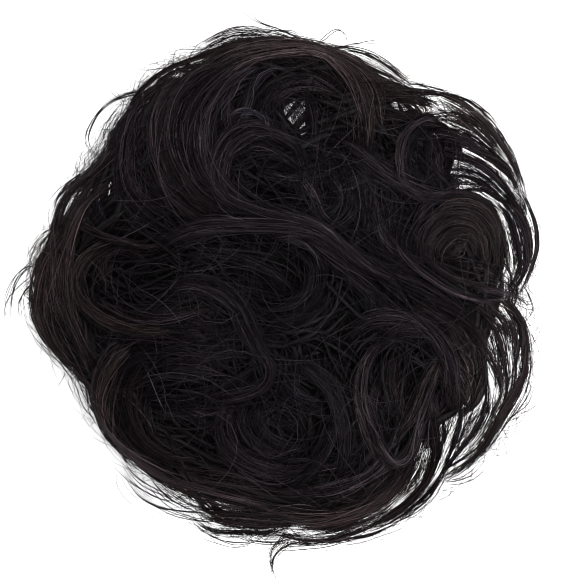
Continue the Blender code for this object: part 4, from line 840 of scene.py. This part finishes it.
def cross_wisps(groom, count, rng, tone=1.25, radius=WISP_R, height=(-0.6, 2.4), reach=76.0):
    """Single hairs that lie across the locks in loose arcs."""
    points = 8
    many = count * 2
    start_r = np.sqrt(rng.uniform(0, 1, many)) * reach
    start_t = rng.uniform(0, 2 * math.pi, many)
    head = rng.uniform(0, 2 * math.pi, many)
    bend = rng.normal(0, 0.025, many) + rng.choice([-1, 1], many) * rng.uniform(0.01, 0.07, many)
    bend2 = rng.normal(0, 0.0012, many)
    length = rng.uniform(10, 42, many)
    s = np.linspace(0, 1, points)[None, :] * length[:, None]
    h = head[:, None] + bend[:, None] * s + bend2[:, None] * s * s
    step = np.diff(s, axis=1)
    x0, y0 = start_r * np.cos(start_t), start_r * np.sin(start_t)
    x = x0[:, None] + np.concatenate([np.zeros((many, 1)), np.cumsum(np.cos(h[:, :-1]) * step, axis=1)], axis=1)
    y = y0[:, None] + np.concatenate([np.zeros((many, 1)), np.cumsum(np.sin(h[:, :-1]) * step, axis=1)], axis=1)
    plan = np.stack([x, y], axis=-1)
    far = np.hypot(x, y)
    ok = np.all(far < turn_value("dense", np.arctan2(y, x)) + 3.0, axis=1)
    ok &= (in_gap(plan).sum(axis=1) == 0) | (rng.uniform(0, 1, many) < 0.25)
    plan = plan[ok][:count]
    n = len(plan)
    u = np.linspace(0, 1, points)[None, :]
    rise = rng.uniform(*height, n)[:, None] * np.sin(u * math.pi) - 1.0
    point, normal = on_skin(plan, -rise)
    groom.strands(point, normal, (rng.uniform(0.8, 1.25, n) * radius)[:, None] * ends_of(points),
                  0.30 + rng.normal(0, 0.15, n)[:, None] + 0 * u, tone_light(tone) + rng.normal(0, 0.16, n)[:, None] + 0 * u)


def rim_frizz(groom, count, rng, radius=0.085, part=(0, 2 * math.pi)):
    """Short fine hairs that stand off the edge, all round or along one part of it."""
    points = 7
    theta = rng.uniform(*part, count)
    out = turn_value("rim", theta) * rng.uniform(0.90, 1.0, count)
    x0, y0 = out * np.cos(theta), out * np.sin(theta)
    sense = rng.choice([-1, 1], count)
    head = theta + sense * np.radians(rng.uniform(20, 88, count))
    length = rng.gamma(3.0, 4.0, count).clip(4, 34)
    bend = sense * rng.uniform(-0.01, 0.07, count) + rng.normal(0, 0.03, count)
    s = np.linspace(0, 1, points)[None, :] * length[:, None]
    h = head[:, None] + bend[:, None] * s
    step = np.diff(s, axis=1)
    x = x0[:, None] + np.concatenate([np.zeros((count, 1)), np.cumsum(np.cos(h[:, :-1]) * step, axis=1)], axis=1)
    y = y0[:, None] + np.concatenate([np.zeros((count, 1)), np.cumsum(np.sin(h[:, :-1]) * step, axis=1)], axis=1)
    past = np.hypot(x, y) - turn_value("rim", np.arctan2(y, x))
    ok = (past.max(axis=1) < 5.5) & (past.max(axis=1) > -2.5)
    x, y = x[ok], y[ok]
    n = len(x)
    plan = np.stack([x, y], axis=-1)
    point, normal = on_skin(plan, rng.uniform(0.5, 5.0, n)[:, None] + 0 * x)
    point[..., 2] += rng.normal(0, 5, n)[:, None] * np.linspace(0, 1, points)[None, :]
    point[..., 2] = np.maximum(point[..., 2], 1.0)
    # the edge hair is coloured warm: painted light shining through it
    groom.strands(point, normal, (rng.uniform(0.8, 1.3, n) * radius)[:, None] * ends_of(points),
                  0.75 + rng.normal(0, 0.12, n)[:, None] + 0 * x, tone_light(1.0) + rng.normal(0, 0.15, n)[:, None] + 0 * x)


# Single hairs that the eye picks out beyond the edge: how many lie together, how far apart (mm), their route
FLYAWAY = namedtuple("FLYAWAY", "count apart depth route")
FLYAWAYS = [
    FLYAWAY(6, 0.3, 3, [(150, 90), (132, 93), (118, 98), (106, 106), (96, 117), (89, 130), (87, 140), (90, 150), (98, 160)]),
    FLYAWAY(2, 1.6, 3, [(122, 104), (118, 96), (112, 88)]),
    FLYAWAY(4, 1.8, 3, [(120, 110), (110, 124), (104, 142), (96, 160)]),
    FLYAWAY(3, 1.5, 4, [(104, 168), (84, 176), (66, 188), (54, 206), (48, 222)]),
    FLYAWAY(5, 1.0, 1, [(204, 50), (216, 42), (232, 36), (250, 35), (270, 39)]),
    FLYAWAY(4, 0.9, 1, [(203, 44), (216, 37), (232, 32), (246, 31), (260, 35)]),
    FLYAWAY(3, 0.8, 1, [(230, 42), (244, 36), (260, 34), (276, 36), (290, 40)]),
    FLYAWAY(3, 0.7, 1, [(306, 42), (292, 36), (280, 31), (268, 28), (256, 28)]),
    FLYAWAY(2, 0.8, 1, [(304, 41), (290, 33), (276, 27), (262, 22), (250, 14), (238, 3)]),
    FLYAWAY(2, 0.8, 1, [(258, 34), (272, 31), (288, 33), (304, 40)]),
    FLYAWAY(2, 0.8, 1, [(316, 44), (326, 36), (338, 29), (346, 34), (348, 44)]),
    FLYAWAY(7, 0.5, 1, [(322, 48), (346, 48), (368, 53), (386, 63), (397, 72), (405, 82)]),
    FLYAWAY(2, 0.8, 1, [(344, 44), (362, 40), (384, 39)]),
    FLYAWAY(3, 1.0, 1, [(404, 84), (424, 86), (444, 91), (464, 99)]),
    FLYAWAY(3, 1.4, 1, [(452, 96), (474, 102), (490, 114), (500, 128)]),
    FLYAWAY(3, 1.0, 1, [(496, 132), (508, 148), (517, 168), (524, 190)]),
    FLYAWAY(3, 1.3, 2, [(516, 280), (524, 292), (528, 306), (522, 316)]),
    FLYAWAY(3, 1.3, 2, [(504, 292), (518, 296), (530, 300), (538, 292)]),
    FLYAWAY(2, 1.2, 3, [(505, 420), (514, 412), (524, 398), (530, 380)]),
    FLYAWAY(4, 1.3, 4, [(446, 482), (460, 478), (476, 468), (488, 454)]),
    FLYAWAY(3, 1.2, 4, [(398, 522), (412, 513), (424, 502), (436, 487)]),
    FLYAWAY(3, 1.5, 5, [(404, 524), (384, 532), (356, 540), (330, 542)]),
    FLYAWAY(4, 1.5, 5, [(352, 538), (322, 543), (290, 545), (262, 542)]),
    FLYAWAY(4, 2.0, 5, [(255, 541), (236, 541), (214, 534), (196, 524)]),
    FLYAWAY(3, 1.3, 5, [(222, 522), (196, 519), (170, 512), (148, 502), (138, 490)]),
    FLYAWAY(5, 2.0, 5, [(174, 502), (150, 494), (128, 480), (112, 462)]),
    FLYAWAY(4, 1.6, 5, [(132, 470), (116, 452), (106, 432), (98, 412)]),
    FLYAWAY(3, 1.4, 5, [(96, 420), (84, 404), (76, 386), (66, 366)]),
    FLYAWAY(3, 1.0, 4, [(40, 262), (24, 270), (12, 284), (6, 302), (6, 320)]),
    FLYAWAY(3, 1.5, 4, [(46, 256), (28, 268), (17, 284), (12, 304), (11, 324)]),
    FLYAWAY(4, 2.0, 4, [(40, 276), (26, 288), (18, 304), (19, 322)]),
    FLYAWAY(3, 1.6, 4, [(56, 228), (42, 240), (30, 256), (26, 272)]),
]


def flyaways(groom, rng, radius=0.15):
    for row in FLYAWAYS:
        plan = smooth_route(plan_mm(row.route), 60)
        along = unit(np.gradient(plan, axis=0))
        across = np.stack([-along[:, 1], along[:, 0]], axis=1)
        place, _ = knots(np.hstack([plan, np.zeros((len(plan), 1))]), 5.0, 0.30)
        n = row.count
        early, late = rng.uniform(0, 0.06, n), 1 - rng.uniform(0, 0.16, n)
        t = early[:, None] + (late - early)[:, None] * place[None, :]
        off = rng.normal(0, row.apart, n)[:, None] * (0.4 + t) + 0.5 * wave(rng, (n,), t, 0.4, 1.2)
        path2 = at(plan, t) + at(across, t) * off[..., None]
        point, normal = on_skin(path2, np.full(path2.shape[:2], float(row.depth)))
        body = np.minimum(np.clip(place / 0.1, 0.5, 1), np.clip((1 - place) / 0.3, 0.4, 1))[None, :]
        groom.strands(point, normal, rng.uniform(0.9, 1.3, n)[:, None] * radius * body, np.full((n, 1), 0.6) + 0 * t,
                      np.full((n, 1), tone_light(0.9)) + 0 * t)


# ---------------------------------------------------------------- materials
def node_tree(name):
    mat = bpy.data.materials.new(name)
    mat.use_nodes = True
    return mat, mat.node_tree, mat.node_tree.nodes["Principled BSDF"]


def link_math(nt, operation, a, b):
    node = nt.nodes.new("ShaderNodeMath")
    node.operation = operation
    for socket, value in zip(node.inputs, (a, b)):
        if isinstance(value, (int, float)):
            socket.default_value = value
        else:
            nt.links.new(value, socket)
    return node.outputs[0]


def colour_ramp(nt, fac, stops):
    ramp = nt.nodes.new("ShaderNodeValToRGB")
    while len(ramp.color_ramp.elements) < len(stops):
        ramp.color_ramp.elements.new(0.5)
    for element, (place, colour) in zip(ramp.color_ramp.elements, stops):
        element.position = place
        element.color = (*colour, 1.0)
    nt.links.new(fac, ramp.inputs["Fac"])
    return ramp.outputs["Color"]


# Hair colour from the cool middle to the brown edge; the brown end is partly painted light shining through the edge
# hair
HAIR_STOPS = [(0.0, (0.0074, 0.0065, 0.0087)), (0.32, (0.0088, 0.0069, 0.0089)),
              (0.55, (0.0102, 0.0074, 0.0089)), (0.85, (0.0114, 0.0079, 0.0085)), (1.0, (0.0130, 0.0087, 0.0087))]


def shade_hair(name, rough=0.34, specular=0.045):
    """Strand finish: warmth along u and lightness along v of the strand's own map; these carry the painted sheen,
    painted shade and painted light through the edge hair.
    """
    mat, nt, bsdf = node_tree(name)
    uv = nt.nodes.new("ShaderNodeUVMap")
    uv.uv_map = "OFBake"
    split = nt.nodes.new("ShaderNodeSeparateXYZ")
    nt.links.new(uv.outputs["UV"], split.inputs["Vector"])
    colour = colour_ramp(nt, split.outputs["X"], HAIR_STOPS)
    gain = link_math(nt, "POWER", LIGHT_SPAN, split.outputs["Y"])
    gain = link_math(nt, "MULTIPLY", gain, HAIR_GAIN / LIGHT_SPAN ** LIGHT_MID)
    scale = nt.nodes.new("ShaderNodeVectorMath")
    scale.operation = "SCALE"
    nt.links.new(colour, scale.inputs[0])
    nt.links.new(gain, scale.inputs["Scale"])
    nt.links.new(scale.outputs["Vector"], bsdf.inputs["Base Color"])
    rough_map = nt.nodes.new("ShaderNodeMapRange")
    rough_map.inputs["To Min"].default_value = rough + 0.12
    rough_map.inputs["To Max"].default_value = rough - 0.06
    nt.links.new(split.outputs["Y"], rough_map.inputs["Value"])
    nt.links.new(rough_map.outputs["Result"], bsdf.inputs["Roughness"])
    nt.links.new(link_math(nt, "MULTIPLY", gain, specular), bsdf.inputs["Specular IOR Level"])
    return mat


def shade_sheets(name):
    """Finish of the flat bundles: fine strands drawn along each one, from its own map."""
    mat, nt, bsdf = node_tree(name)
    uv = nt.nodes.new("ShaderNodeUVMap")
    uv.uv_map = "OFBake"
    stretch = nt.nodes.new("ShaderNodeVectorMath")
    stretch.operation = "MULTIPLY"
    stretch.inputs[1].default_value = (300.0, 8.0, 1.0)
    nt.links.new(uv.outputs["UV"], stretch.inputs[0])
    fine = nt.nodes.new("ShaderNodeTexNoise")
    fine.inputs["Scale"].default_value = 1.0
    fine.inputs["Detail"].default_value = 3.0
    fine.inputs["Roughness"].default_value = 0.65
    nt.links.new(stretch.outputs["Vector"], fine.inputs["Vector"])
    cool = colour_ramp(nt, fine.outputs["Fac"], [(0.36, (0.0008, 0.0007, 0.0009)), (0.50, (0.0026, 0.0022, 0.0028)),
                                                 (0.60, (0.0065, 0.0053, 0.0068)), (0.70, (0.0130, 0.0103, 0.0130))])
    brown = colour_ramp(nt, fine.outputs["Fac"], [(0.36, (0.0010, 0.0007, 0.0008)), (0.50, (0.0036, 0.0026, 0.0028)),
                                                  (0.60, (0.0085, 0.0060, 0.0064)), (0.70, (0.0165, 0.0112, 0.0116))])
    split = nt.nodes.new("ShaderNodeSeparateXYZ")
    nt.links.new(uv.outputs["UV"], split.inputs["Vector"])
    # cool to brown across v, which carries the hue: the hair's own colour and, towards the edge, painted light shining
    # through the hair
    side = nt.nodes.new("ShaderNodeMapRange")
    side.inputs["From Min"].default_value = 0.15
    side.inputs["From Max"].default_value = 0.65
    nt.links.new(split.outputs["Y"], side.inputs["Value"])
    mix = nt.nodes.new("ShaderNodeMix")
    mix.data_type = "RGBA"
    nt.links.new(side.outputs["Result"], mix.inputs["Factor"])
    nt.links.new(cool, mix.inputs["A"])
    nt.links.new(brown, mix.inputs["B"])
    nt.links.new(mix.outputs["Result"], bsdf.inputs["Base Color"])
    bump = nt.nodes.new("ShaderNodeBump")
    bump.inputs["Strength"].default_value = 0.7
    bump.inputs["Distance"].default_value = 0.00025
    nt.links.new(fine.outputs["Fac"], bump.inputs["Height"])
    nt.links.new(bump.outputs["Normal"], bsdf.inputs["Normal"])
    bsdf.inputs["Roughness"].default_value = 0.42
    bsdf.inputs["Specular IOR Level"].default_value = 0.10
    return mat


HAIR_GAIN = 1.20
HAIR = shade_hair("hair_strands")
SHEET = shade_sheets("hair_bundles")


def piece(name, mesh, material):
    mesh.materials.append(material)
    obj = bpy.data.objects.new(name, mesh)
    bpy.context.scene.collection.objects.link(obj)
    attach(obj, "root")
    return obj


COUNT = {}


def finish_groom(groom, name, material, kind):
    COUNT[kind] = COUNT.get(kind, 0) + groom.tris
    assert groom.tris < 199000, (name, groom.tris)
    return piece(name, groom.mesh(name), material)


# ---------------------------------------------------------------- the locks
LOCK_SCALE, FREE_SCALE, LOOSE_SCALE = 0.55, 0.64, 0.8
for node in dict.fromkeys(row.node for row in LOCKS):
    strands, sheets = Groom(), Groom()
    for k, row in enumerate(LOCKS):
        if row.node != node:
            continue
        rng = np.random.default_rng(1000 + k)
        middle, normal = lay(row.route, row.depth)
        if row.free >= 2:
            loose_hair(strands, middle, normal, row.width, row.count * LOOSE_SCALE, HUES[row.hue], TONES[row.tone], rng,
                       0.10 if row.free == 2 else 0.062)
            continue
        comb(strands, middle, normal, row.width, row.thick, row.count * (FREE_SCALE if row.free else LOCK_SCALE),
             HUES[row.hue], TONES[row.tone], row.free, rng, STRAND_R)
        if row.free:
            loose_hair(strands, middle, normal, row.width, 2 + row.width * 1.3, HUES[row.hue], TONES[row.tone], rng)
        else:
            bundle(sheets, middle, normal, row.width, row.thick, HUES[row.hue], rng, keep=off_gaps)
    made = [finish_groom(strands, node + "_hair", HAIR, "locks")]
    if sheets.parts:
        made.append(finish_groom(sheets, node + "_bundles", SHEET, "bundles"))
    for part in made:
        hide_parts(node)

# ---------------------------------------------------------------- between and under the locks
rng = np.random.default_rng(77)
groom = Groom()
edge_hair = Groom()
rim_fill(groom, edge_hair, rng)
under_sheets(groom, 1000, 2.5, 6.5, rng)
finish_groom(groom, "under_bundles", SHEET, "under")
groom = edge_hair
under_strands(groom, 1420, 0.2, 4.2, 3.6, STRAND_R * 0.95, rng)
finish_groom(groom, "under_hair", HAIR, "under")
groom = Groom()
cross_wisps(groom, 860, rng)
finish_groom(groom, "cross_wisps", HAIR, "wisps")
groom = Groom()
rim_frizz(groom, 1500, rng)
rim_frizz(groom, 560, rng, 0.075, (1.75, 3.35))
flyaways(groom, rng)
finish_groom(groom, "edge_frizz", HAIR, "wisps")


# ---------------------------------------------------------------- the dense mass


def dense_mass():
    """The airy net under the locks as one dark closed form, hollow underneath."""
    around, rows = 120, 44
    theta = np.arange(around) * 2 * math.pi / around
    rings = []
    for a in np.linspace(0.03, math.pi, rows):
        r = skin("core", CROWN_Z - CORE_DROP, theta, a)
        r[:, :2] *= (mass_edge(theta) / turn_value("core", theta))[:, None]
        r[:, 2] = np.maximum(r[:, 2], 0.6)
        rings.append(r)
    inner = [(BAND_OUTER_R + 0.4, 0.6), (BAND_OUTER_R + 0.4, BAND_THICK + 0.4), (HOLLOW_R - 1.0, BAND_THICK + 0.4),
             (HOLLOW_R + 0.5, 11.0), (HOLLOW_R, 20.0), (HOLLOW_R - 4.5, HOLLOW_Z - 5.5),
             (HOLLOW_R - 13.0, HOLLOW_Z - 1.2), (4.0, HOLLOW_Z)]
    for radius, z in inner:
        rings.append(np.stack([radius * np.cos(theta), radius * np.sin(theta), np.full_like(theta, z)], axis=1))
    verts = np.concatenate(rings)
    faces = []
    for r in range(len(rings) - 1):
        a, b = r * around, (r + 1) * around
        for k in range(around):
            m = (k + 1) % around
            faces.append((a + k, b + k, b + m, a + m))
    for ring, flip in ((0, False), (len(rings) - 1, True)):
        mid = len(verts)
        verts = np.vstack([verts, rings[ring].mean(axis=0)])
        for k in range(around):
            m = (k + 1) % around
            pair = (ring * around + k, ring * around + m)
            faces.append((mid,) + (pair[::-1] if flip else pair))
    mesh = bpy.data.meshes.new("dense_mass")
    mesh.from_pydata([tuple(v * 0.001 + SHIFT) for v in verts], [], faces)
    mesh.update()
    mesh.polygons.foreach_set("use_smooth", np.ones(len(mesh.polygons), bool))
    return mesh


def shade_mass():
    mat, nt, bsdf = node_tree("shaded_hair_mass")
    coords = nt.nodes.new("ShaderNodeTexCoord")
    warp = nt.nodes.new("ShaderNodeTexNoise")
    warp.inputs["Scale"].default_value = 22.0
    nt.links.new(coords.outputs["Object"], warp.inputs["Vector"])
    push = nt.nodes.new("ShaderNodeVectorMath")
    push.operation = "MULTIPLY_ADD"
    push.inputs[1].default_value = (0.05, 0.05, 0.05)
    nt.links.new(warp.outputs["Color"], push.inputs[0])
    nt.links.new(coords.outputs["Object"], push.inputs[2])
    streak = nt.nodes.new("ShaderNodeTexWave")
    streak.inputs["Scale"].default_value = 260.0
    streak.inputs["Distortion"].default_value = 6.0
    streak.inputs["Detail"].default_value = 2.0
    nt.links.new(push.outputs["Vector"], streak.inputs["Vector"])
    # the mass is coloured darker than the strands: painted shade deep under the locks, with streaks of strands
    colour = colour_ramp(nt, streak.outputs["Fac"], [(0.0, (0.0012, 0.0010, 0.0012)), (1.0, (0.0055, 0.0045, 0.0048))])
    nt.links.new(colour, bsdf.inputs["Base Color"])
    bump = nt.nodes.new("ShaderNodeBump")
    bump.inputs["Strength"].default_value = 0.6
    bump.inputs["Distance"].default_value = 0.0005
    nt.links.new(streak.outputs["Fac"], bump.inputs["Height"])
    nt.links.new(bump.outputs["Normal"], bsdf.inputs["Normal"])
    bsdf.inputs["Roughness"].default_value = 0.6
    bsdf.inputs["Specular IOR Level"].default_value = 0.05
    return mat


mass = piece("dense_mass", dense_mass(), shade_mass())
COUNT["mass"] = sum(len(p.vertices) - 2 for p in mass.data.polygons)
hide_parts("hair_core")


# ---------------------------------------------------------------- flank and underside
def side_lock(theta, alpha, share):
    """A lock's middle line on the flank, from its angles (degrees) and how far out it lies."""
    route = smooth_route(np.stack([theta, alpha], axis=1), 120)
    t, a = np.radians(route[:, 0]), np.radians(route[:, 1])
    shown = skin("rim", CROWN_Z, t, a)
    core = skin("core", CROWN_Z - CORE_DROP, t, a)
    middle = core + (shown - core) * share
    plan = middle[:, :2]
    far = np.hypot(plan[:, 0], plan[:, 1])
    limit = turn_value("dense", np.arctan2(plan[:, 1], plan[:, 0])) - 2.0
    middle[:, :2] = plan / np.maximum(far / limit, 1.0)[:, None]
    middle[:, 2] = np.maximum(middle[:, 2], 1.2)
    return middle, skin_normal("rim", CROWN_Z, t, a)


def clear_of_gaps(path):
    far = np.hypot(path[..., 0], path[..., 1])
    limit = turn_value("dense", np.arctan2(path[..., 1], path[..., 0]))
    return (in_gap(path[..., :2]).sum(axis=1) == 0) & np.all(far < limit + 0.8, axis=1) & (path[..., 2].min(axis=1) > 0.25)


FLANKS = sorted(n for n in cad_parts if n.startswith("flank_lock"))
SIDE_LOCKS = 6            # locks of hair on each flank solid
OVERHANG_LOCKS = 2        # and those from the overhang into it
for k, node in enumerate(FLANKS):
    strands, sheets = Groom(), Groom()
    rng = np.random.default_rng(300 + k)
    for m in range(SIDE_LOCKS):
        theta0 = (k + (m + rng.uniform(0.2, 0.8)) / SIDE_LOCKS) * 360 / len(FLANKS)
        sense = rng.choice([-1, 1])
        top = rng.uniform(66, 88)
        span = sense * rng.uniform(28, 58)
        low = rng.uniform(112, 158)
        u = np.linspace(0, 1, 6)
        theta = theta0 + span * (u - 0.5)
        alpha = top + (low - top) * np.sin(u * math.pi * rng.uniform(0.55, 1.0)) + rng.normal(0, 3, 6)
        if m % 3 == 2:
            alpha = top + (low - top) * u + 5 * np.sin(u * 6.0)
        middle, normal = side_lock(theta, alpha, rng.uniform(0.45, 0.75))
        width = rng.uniform(7, 13)
        comb(strands, middle, normal, width, 3.0, 21, 0.66, 1.0, 0, rng, STRAND_R * 1.1, keep=clear_of_gaps)
        bundle(sheets, middle, normal, width, 3.0, 0.66, rng, each=2.6, keep=clear_of_gaps)
    for m in range(OVERHANG_LOCKS):      # hair that runs from under the overhang into the flank
        theta0 = (k + (m + rng.uniform(0.2, 0.8)) / OVERHANG_LOCKS) * 360 / len(FLANKS)
        u = np.linspace(0, 1, 6)
        theta = theta0 + rng.choice([-1, 1]) * rng.uniform(16, 34) * (u - 0.5)
        alpha = rng.uniform(74, 86) + rng.uniform(30, 52) * u + 4 * np.sin(u * 5.0 + m)
        middle, normal = side_lock(theta, alpha, rng.uniform(0.80, 0.96))
        width = rng.uniform(9, 14)
        comb(strands, middle, normal, width, 3.4, 10, 0.60, 0.95, 0, rng, STRAND_R * 1.1, keep=clear_of_gaps)
        bundle(sheets, middle, normal, width, 3.4, 0.60, rng, each=2.4, keep=clear_of_gaps)
    made = [finish_groom(strands, node + "_hair", HAIR, "flank"), finish_groom(sheets, node + "_bundles", SHEET, "flank")]
    for part in made:
        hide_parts(node)


def underside(groom, rng, count):
    """Strands from the resting ring in to the band, and up the wall of the hollow."""
    points = 7
    u = np.linspace(0, 1, points)[None, :]
    theta = rng.uniform(0, 2 * math.pi, count)[:, None] + np.radians(rng.normal(0, 22, count))[:, None] * u \
        + np.radians(wave(rng, (count,), u, 0.3, 0.9) * 5)
    outer = turn_value("core", theta) * UNDER_SHARE + rng.uniform(-2, 4, count)[:, None]
    radius = outer + (BAND_OUTER_R + rng.uniform(0.6, 3, count)[:, None] - outer) * u
    z = 0.25 + rng.uniform(0, 0.35, count)[:, None] + 0 * u
    point = np.stack([radius * np.cos(theta), radius * np.sin(theta), z], axis=-1)
    body = ends_of(points)
    groom.strands(point, np.array([0, 0, -1.0]), (rng.uniform(0.8, 1.2, count) * 0.17)[:, None] * body,
                  0.45 + rng.normal(0, 0.1, count)[:, None] + 0 * u, tone_light(0.9) + rng.normal(0, 0.14, count)[:, None] + 0 * u)
    profile = np.array([(HOLLOW_R - 1.2, 3.8), (HOLLOW_R + 0.1, 11.0), (HOLLOW_R - 0.4, 20.0), (HOLLOW_R - 4.9, 27.0),
                        (HOLLOW_R - 13.0, 31.2), (5.0, 32.4), (0.8, 32.5)])
    n = count
    lo = rng.uniform(0, 0.45, n)
    hi = np.minimum(lo + rng.uniform(0.4, 0.7, n), 1.0)
    s = lo[:, None] + (hi - lo)[:, None] * u
    at_wall = at(smooth_route(profile, 120), s)
    theta = rng.uniform(0, 2 * math.pi, n)[:, None] + np.radians(rng.normal(0, 40, n))[:, None] * u
    inward = rng.uniform(0.1, 0.9, n)[:, None]
    point = np.stack([(at_wall[..., 0] - inward) * np.cos(theta), (at_wall[..., 0] - inward) * np.sin(theta),
                      at_wall[..., 1] - inward * 0.6], axis=-1)
    normal = unit(np.stack([-np.cos(theta), -np.sin(theta), -0.5 + 0 * theta], axis=-1))
    groom.strands(point, normal, (rng.uniform(0.8, 1.2, n) * 0.17)[:, None] * body,
                  0.4 + rng.normal(0, 0.1, n)[:, None] + 0 * u, tone_light(0.9) + rng.normal(0, 0.14, n)[:, None] + 0 * u)


groom = Groom()
underside(groom, np.random.default_rng(5), 400)
finish_groom(groom, "underside_hair", HAIR, "underside")

# ---------------------------------------------------------------- elastic band
band, nt, bsdf = node_tree("woven_elastic")
coords = nt.nodes.new("ShaderNodeTexCoord")
weave = nt.nodes.new("ShaderNodeTexVoronoi")
weave.inputs["Scale"].default_value = 1400.0
nt.links.new(coords.outputs["Object"], weave.inputs["Vector"])
nt.links.new(colour_ramp(nt, weave.outputs["Distance"], [(0.0, (0.010, 0.009, 0.010)), (1.0, (0.030, 0.028, 0.030))]),
             bsdf.inputs["Base Color"])
bump = nt.nodes.new("ShaderNodeBump")
bump.inputs["Strength"].default_value = 0.5
bump.inputs["Distance"].default_value = 0.0003
nt.links.new(weave.outputs["Distance"], bump.inputs["Height"])
nt.links.new(bump.outputs["Normal"], bsdf.inputs["Normal"])
bsdf.inputs["Roughness"].default_value = 0.75
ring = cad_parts["elastic_band"]
ring = ring if isinstance(ring, bpy.types.Object) else bpy.data.objects["elastic_band"]
ring.data.materials.clear()
ring.data.materials.append(band)

# ---------------------------------------------------------------- floor, light, camera
bpy.ops.mesh.primitive_plane_add(size=6.0, location=(0, 0, 0))
floor = bpy.context.object
floor.name = "floor"
paper, nt, bsdf = node_tree("pale_glowing_floor")
bsdf.inputs["Base Color"].default_value = (0.93, 0.93, 0.93, 1)
bsdf.inputs["Roughness"].default_value = 0.9
# the floor glows: painted light that fills the shadow under the piece, keeps the floor white in the gaps and lights the
# hair from below
bsdf.inputs["Emission Color"].default_value = (1, 1, 1, 1)
bsdf.inputs["Emission Strength"].default_value = 0.6
floor.data.materials.append(paper)
floor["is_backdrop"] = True


def area(name, place, aim, size, power, colour=(1, 1, 1)):
    data = bpy.data.lights.new(name, "AREA")
    data.shape = "DISK"
    data.size = size
    data.energy = power
    data.color = colour
    obj = bpy.data.objects.new(name, data)
    bpy.context.scene.collection.objects.link(obj)
    obj.location = place
    obj.rotation_mode = "QUATERNION"
    obj.rotation_quaternion = (Vector(aim) - Vector(place)).to_track_quat("-Z", "Y")
    return obj


area("key", (0.05, 0.80, 1.05), (0, 0, 0.03), 0.45, 9.0, (1.0, 0.99, 0.98))
area("fill_right", (0.95, -0.45, 0.80), (0, 0, 0.03), 0.45, 14.0, (1.0, 0.98, 0.98))
area("top_soft", (0.10, -0.05, 1.6), (0, 0, 0.03), 0.6, 14.0)

world = bpy.data.worlds.new("studio")
world.use_nodes = True
world.node_tree.nodes["Background"].inputs["Color"].default_value = (0.97, 0.98, 1.0, 1)
world.node_tree.nodes["Background"].inputs["Strength"].default_value = 0.22
bpy.context.scene.world = world
bpy.context.scene.view_settings.view_transform = "Standard"
bpy.context.scene.cycles.filter_width = 1.15

VIEW_MM = 580 * PLAN_STEP
LENS, SENSOR = 200.0, 36.0
camera = bpy.data.cameras.new("camera")
camera.lens = LENS
camera.sensor_width = SENSOR
camera.sensor_fit = "HORIZONTAL"
cam = bpy.data.objects.new("camera", camera)
bpy.context.scene.collection.objects.link(cam)
cam.location = (SHIFT[0] + EYE * 0.001, SHIFT[1], 0.040 + VIEW_MM * 0.001 * LENS / SENSOR)
cam.rotation_euler = (0, 0, 0)
camera.clip_start, camera.clip_end = 0.05, 10.0
bpy.context.scene.camera = cam

low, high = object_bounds()
